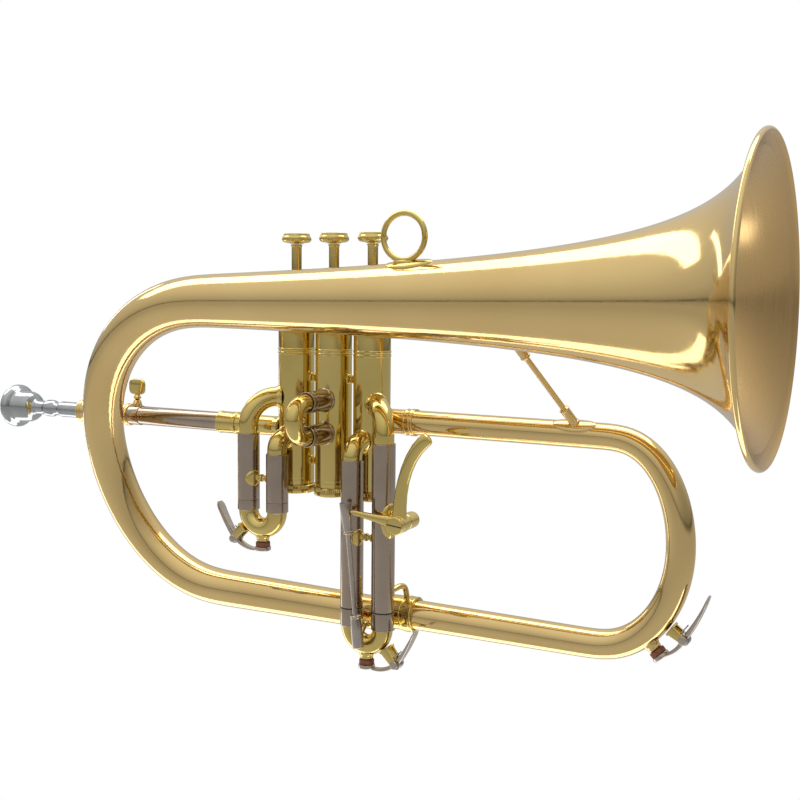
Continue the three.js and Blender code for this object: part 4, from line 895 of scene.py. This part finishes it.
# ---- third-slide trigger ------------------------------------------------------------
PIVOT = vec(61.5, -31, -44)
post = [(0, -16), (3.6, -16), (4.4, -15.4), (4.6, -14.4), (4.6, -6.4), (4.2, -5.8), (4.2, -5.2), (4.6, -4.6),
        (4.6, -1.3), (4.3, -1.0), (0, -1.0)]
bracket = [
    turned(post, 40, PIVOT, -Y, corner=0.25),
    leaf(vec(45.3, -20, -45), Z, unit(vec(0.94, -0.34, 0)), SLEEVE_R, 1.0, 10, 6.2, point=0.9),
    loft([vec(50.5, -21.8, -44), vec(50.6, -21.8, -44), vec(54, -21.6, -44), vec(58, -21.2, -44),
          vec(59, -21.2, -44)],
         [0, 4.0, 3.0, 3.4, 0], [0, 2.4, 2.4, 2.4, 0], sides=28),
]
piece("trigger_post", bracket, "trigger_bracket")

screw_back = box_mm("trigger_pivot_screw")[0][1]
head = [(0, 0), (4.6, 0), (5.1, 0.4), (5.1, 2.4), (4.5, 2.95), (0, 2.95)]
slot_half = 0.38
head_shell = turned(head, 64, vec(PIVOT[0], screw_back + 3.0, PIVOT[2]), -Y, corner=0.3)
# painted shadow: a thin dark sheet laid on the screw head stands in for the shade inside its slot; no slot is cut
# into the head
slot_shadow_sheet = slab([(-4.6, -slot_half), (4.6, -slot_half), (4.6, slot_half), (-4.6, slot_half)], 0.3,
              basis(vec(0.995, 0, -0.1), vec(0.1, 0, 0.995), -Y, vec(PIVOT[0], screw_back + 0.12, PIVOT[2])),
              bevel=0.05)
shaft = turned([(0, 0), (1.7, 0), (1.7, 10), (0, 10)], 24, vec(PIVOT[0], -27.3, PIVOT[2]), -Y)
piece("trigger_screw", [head_shell, shaft], "trigger_pivot_screw")
# the dark sheet is a painted shadow of the slot
piece("trigger_screw_slot_shadow", [slot_shadow_sheet], "trigger_pivot_screw", finish="slot_shade", stands_in=False)

spine = [vec(x, PIVOT[1], z) for x, z in (
    (61.4, -43.5), (61.4, -40), (61.6, -34), (62.3, -27), (63.7, -20), (65.7, -13.5), (68.5, -7.2), (71.9, -1.9),
    (75.4, 1.9), (77.6, 3.8), (78.5, 4.5), (79.0, 4.9))]
finger = loft([spine[0]] + spine + [spine[-1]],
              [0, 4.4, 4.2, 3.9, 3.6, 3.4, 3.4, 3.5, 3.7, 3.8, 3.7, 3.2, 1.9, 0],
              [0, 2.4, 2.4, 2.45, 2.5, 2.5, 2.5, 2.5, 2.5, 2.5, 2.4, 2.1, 1.2, 0], sides=36, power=2.3)
hub = turned([(1.95, -3.4), (4.6, -3.4), (5.0, -3.0), (5.0, 2.9), (4.6, 3.3), (1.95, 3.3)], 56, PIVOT, -Y,
             closed=True, corner=0.25)
arm_end = LINK_TOP + vec(5, 0, -0.6)
way = unit(arm_end - PIVOT)
short = loft([PIVOT, PIVOT + way * 0.1, PIVOT + way * 8, PIVOT + way * 14, PIVOT + way * 20, PIVOT + way * 24,
              arm_end - way * 0.1, arm_end],
             [0, 3.6, 3.0, 2.3, 1.9, 1.7, 1.6, 0], [0, 2.2, 2.0, 1.9, 1.8, 1.7, 1.5, 0], sides=28)
ball_reach = vec(6.0, 0, -0.72)
tenon = turned([(0, 0), (0.8, 0), (0.8, 4.6), (1.25, 5.0), (1.58, 6.1), (1.25, 7.4), (0, 7.7)], 24,
               LINK_TOP + ball_reach, -ball_reach, corner=0.3)
piece("trigger_arm", [finger, hub, short, tenon], "trigger_lever")

direction = unit(LINK_TOP - LINK_FOOT)
link_length = np.linalg.norm(LINK_TOP - LINK_FOOT)
link = [(0, -6.5), (2.7, -6.5), (3.25, -6.1), (3.35, -2), (3.3, 4), (3.0, 8.6), (2.8, 10.4), (3.0, 10.8), (3.0, 11.7),
        (2.4, 12.1), (1.45, 12.4), (1.45, link_length - 13.6), (2.4, link_length - 13.2), (2.9, link_length - 12.8),
        (2.9, link_length - 11.9), (2.4, link_length - 11.5), (3.0, link_length - 5), (3.45, link_length + 4.5),
        (2.9, link_length + 4.5), (2.9, link_length - 4), (0, link_length - 4)]
piece("trigger_link_rod", [turned(link, 48, LINK_FOOT, direction, corner=0.15)], "trigger_link",
      finish="key_nickel")

# ---- finger ring and braces ---------------------------------------------------------
ring_centre = vec(73, -50.6, span_mm("finger_ring", 2)[1] - 13.5)
ring_stations = []
for i in range(96):
    angle = 2 * math.pi * i / 96
    across = vec(math.sin(angle), 0, -math.cos(angle))
    ring_stations.append((ring_centre + 12 * across, across, Y, 1.5))
ring_shell = ring_stack(ring_stations, 28, True)
foot_r = bell_r_at(73 + 14) + 0.9
ring_out = unit(vec(0, -7, math.sqrt(foot_r ** 2 - 49)))
slope = (bell_r_at(78) - bell_r_at(76)) / 2
ring_along = unit(vec(1, 0, BELL_RISE) + ring_out * slope)
ring_away = unit(ring_out - np.dot(ring_out, ring_along) * ring_along)
base_r = bell_r_at(77)
ring_leaf = leaf(bell_axis(77), ring_along, ring_away, base_r + 0.1, 1.3, 14, 6.2, point=1.2)
saddle = loft([ring_centre + vec(x, 0, z) for x, z in (
    (-5.5, -12.7), (-5.4, -12.7), (-2.5, -13.2), (0, -13.4), (2.5, -13.2), (5.4, -12.7), (5.5, -12.7))],
    [0, 0.7, 1.4, 1.7, 1.4, 0.7, 0], [0, 1.2, 2.0, 2.3, 2.0, 1.2, 0], sides=24)
piece("ring_hook", [ring_shell, ring_leaf, saddle], "finger_ring")

BRACE_BELL_X, BRACE_TUBE_X = 127, 150.5
brace_direction = unit(vec(0, BELL_Y, bell_axis(BRACE_BELL_X)[2] - UPPER_Z))
brace_top = bell_axis(BRACE_BELL_X) - brace_direction * (bell_r_at(BRACE_BELL_X) + 1.2)
brace_foot = vec(BRACE_TUBE_X, 0, UPPER_Z) + brace_direction * 7.6
brace_run = unit(brace_top - brace_foot)
brace_length = np.linalg.norm(brace_top - brace_foot)
rod = [(0, -0.8), (2.9, -0.8), (2.9, 0.5), (2.5, 1.0), (2.5, 8.6), (2.75, 8.9), (2.75, 9.8), (2.1, 10.2), (1.5, 10.6),
       (1.5, brace_length - 10.6), (2.1, brace_length - 10.2), (2.75, brace_length - 9.8),
       (2.75, brace_length - 8.9), (2.5, brace_length - 8.6), (2.5, brace_length - 1.0),
       (2.9, brace_length - 0.5), (2.9, brace_length + 0.6), (0, brace_length + 0.6)]
slope = (bell_r_at(BRACE_BELL_X + 1) - bell_r_at(BRACE_BELL_X - 1)) / 2
top_out = -brace_direction
top_along = unit(vec(1, 0, BELL_RISE) + top_out * slope)
top_away = unit(top_out - np.dot(top_out, top_along) * top_along)
piece("brace_diagonal", [
    turned(rod, 40, brace_foot, brace_run, corner=0.2),
    leaf(bell_axis(BRACE_BELL_X), top_along, top_away, bell_r_at(BRACE_BELL_X) + 0.15, 1.0, 12, 7, point=1.2),
    leaf(vec(BRACE_TUBE_X, 0, UPPER_Z), X, brace_direction, 7, 1.0, 12, 6.2, point=1.2),
], "diagonal_brace")

brace_x = 26
brace_r = bell_r_at(brace_x) + 0.6
touch = unit(vec(0, math.sqrt(brace_r ** 2 - 15.5 ** 2), -15.5))
start = bell_axis(brace_x) + touch * (brace_r - 0.5)
foot = vec(brace_x, -CASING_R, start[2])
reach = foot[1] - start[1]
rod = [(0, 0), (2, 0), (2, reach - 4.6), (2.6, reach - 4.1), (2.6, reach - 3.0), (2, reach - 2.5), (3.2, reach - 1.9),
       (4, reach - 1.4), (4, reach + 0.3), (0, reach + 0.3)]
piece("brace_casing", [turned(rod, 36, start, Y, corner=0.2),
                       leaf(bell_axis(brace_x), vec(1, 0, BELL_RISE), touch, bell_r_at(brace_x) + 0.1, 1.1, 9, 5.2,
                            point=1.2)], "casing_brace")

stay_start = vec(46.8, -20 + SLEEVE_R + 0.1, -88)
stay_end = vec(50, 0, FRONT_Z + 9.8)
stay = []
for i in range(33):
    t = i / 32
    stay.append((1 - t) ** 3 * stay_start + 3 * t * (1 - t) ** 2 * vec(48, -5, -86)
                + 3 * t * t * (1 - t) * vec(50, -1, -84) + t ** 3 * stay_end)
piece("stay_arched", [wire_along(stay, 1.65, 24, side=unit(vec(1, -0.3, 0)))], "slide_stay")

# ---- carried-over CAD nodes -----------------------------------------------------------
for node, made in frame["nodes"].items():
    if not made.hide_render:
        made.data.materials.clear()
        made.data.materials.append(FINISH[SLOT_OF[node]])

# ---- stage --------------------------------------------------------------------------
floor_mesh = bpy.data.meshes.new("floor")
floor_size, floor_z = 12.0, -0.62
grid = bmesh.new()
bmesh.ops.create_grid(grid, x_segments=8, y_segments=8, size=floor_size)
grid.to_mesh(floor_mesh)
grid.free()
floor = bpy.data.objects.new("floor", floor_mesh)
floor.location = (0, 0, floor_z)
bpy.context.scene.collection.objects.link(floor)
floor_mat = bpy.data.materials.new("pale_floor")
floor_mat.use_nodes = True
nodes, links = floor_mat.node_tree.nodes, floor_mat.node_tree.links
cloth = nodes["Principled BSDF"]
cloth.inputs["Base Color"].default_value = (0.55, 0.55, 0.55, 1)
cloth.inputs["Roughness"].default_value = 0.95
lit = nodes.new("ShaderNodeEmission")
lit.inputs["Color"].default_value = (1, 1, 1, 1)
path = nodes.new("ShaderNodeLightPath")
blend = nodes.new("ShaderNodeMixShader")
links.new(path.outputs["Is Camera Ray"], blend.inputs["Fac"])
links.new(cloth.outputs["BSDF"], blend.inputs[1])
links.new(lit.outputs["Emission"], blend.inputs[2])
links.new(blend.outputs["Shader"], nodes["Material Output"].inputs["Surface"])
floor_mesh.materials.append(floor_mat)

world = bpy.data.worlds.new("studio")
bpy.context.scene.world = world
world.use_nodes = True
nodes, links = world.node_tree.nodes, world.node_tree.links
background = nodes["Background"]
coordinate = nodes.new("ShaderNodeTexCoord")
separate = nodes.new("ShaderNodeSeparateXYZ")
ramp = nodes.new("ShaderNodeValToRGB")
scale_up = nodes.new("ShaderNodeMapRange")
scale_up.inputs["From Min"].default_value = -1
links.new(coordinate.outputs["Generated"], separate.inputs["Vector"])
links.new(separate.outputs["Z"], scale_up.inputs["Value"])
links.new(scale_up.outputs["Result"], ramp.inputs["Fac"])
stops = [(0.0, 0.9), (0.30, 0.75), (0.47, 0.42), (0.492, 0.35), (0.497, 0.06), (0.503, 0.06), (0.508, 0.36),
         (0.56, 0.50), (0.75, 0.72), (1.0, 0.95)]
elements = ramp.color_ramp.elements
elements[0].position, elements[1].position = stops[0][0], stops[-1][0]
elements[0].color = (stops[0][1],) * 3 + (1,)
elements[-1].color = (stops[-1][1],) * 3 + (1,)
for position, level in stops[1:-1]:
    element = elements.new(position)
    element.color = (level, level, level, 1)
path = nodes.new("ShaderNodeLightPath")
dim = nodes.new("ShaderNodeMapRange")
dim.inputs["From Min"].default_value, dim.inputs["From Max"].default_value = 0.45, 0.95
dim.inputs["To Min"].default_value, dim.inputs["To Max"].default_value = 1.0, 0.6
links.new(separate.outputs["X"], dim.inputs["Value"])
dimmed = nodes.new("ShaderNodeVectorMath")
dimmed.operation = "SCALE"
links.new(ramp.outputs["Color"], dimmed.inputs[0])
links.new(dim.outputs["Result"], dimmed.inputs["Scale"])
mix = nodes.new("ShaderNodeMix")
mix.data_type = "RGBA"
links.new(path.outputs["Is Camera Ray"], mix.inputs["Factor"])
links.new(dimmed.outputs["Vector"], mix.inputs[6])
mix.inputs[7].default_value = (1, 1, 1, 1)
links.new(mix.outputs[2], background.inputs["Color"])


def softbox(name, place, target, size_x, size_y, power, twist=0.0):
    light = bpy.data.lights.new(name, "AREA")
    light.shape = "RECTANGLE"
    light.size, light.size_y = size_x, size_y
    light.energy = power
    lamp = bpy.data.objects.new(name, light)
    bpy.context.scene.collection.objects.link(lamp)
    lamp.location = place
    lamp.rotation_mode = "QUATERNION"
    aim = (Vector(target) - Vector(place)).to_track_quat("-Z", "Y")
    lamp.rotation_quaternion = Quaternion((0, 0, 1), math.radians(twist)) @ aim


softbox("overhead", (-0.75, 0.18, 1.15), (-0.75, 0.16, 0), 3.2, 0.66, 17, twist=16)
softbox("under", (-0.4, 0.10, -0.60), (-0.4, 0.1, 0), 3.0, 0.34, 5.5)
softbox("side_high", (-2.0, 0.95, 0.75), (0.2, -0.1, 0.4), 0.22, 0.9, 1.6)
softbox("side_low", (-2.0, 0.95, -0.36), (0.2, -0.1, -0.2), 0.22, 0.36, 0.6)

# ---- camera -------------------------------------------------------------------------
CAMERA_AT, LENS_MM, SENSOR_MM = Vector((0.349, -0.568, 0.0849)), 51.03, 36
azimuth, pitch, roll = math.radians(28.2), math.radians(5.7), math.radians(0.53)
forward = Vector((-math.sin(azimuth) * math.cos(pitch), math.cos(azimuth) * math.cos(pitch), -math.sin(pitch)))
level = Vector((math.cos(azimuth), math.sin(azimuth), 0))
upward = level.cross(forward)
right = level * math.cos(roll) + upward * math.sin(roll)
upward = upward * math.cos(roll) - level * math.sin(roll)
camera_data = bpy.data.cameras.new("camera")
camera_data.sensor_width = SENSOR_MM
camera_data.lens = LENS_MM
camera = bpy.data.objects.new("camera", camera_data)
bpy.context.scene.collection.objects.link(camera)
turn = Matrix((right, upward, -forward)).transposed().to_4x4()
camera.matrix_world = Matrix.Translation(CAMERA_AT) @ turn
bpy.context.scene.camera = camera
bpy.context.scene.view_settings.view_transform = "Standard"
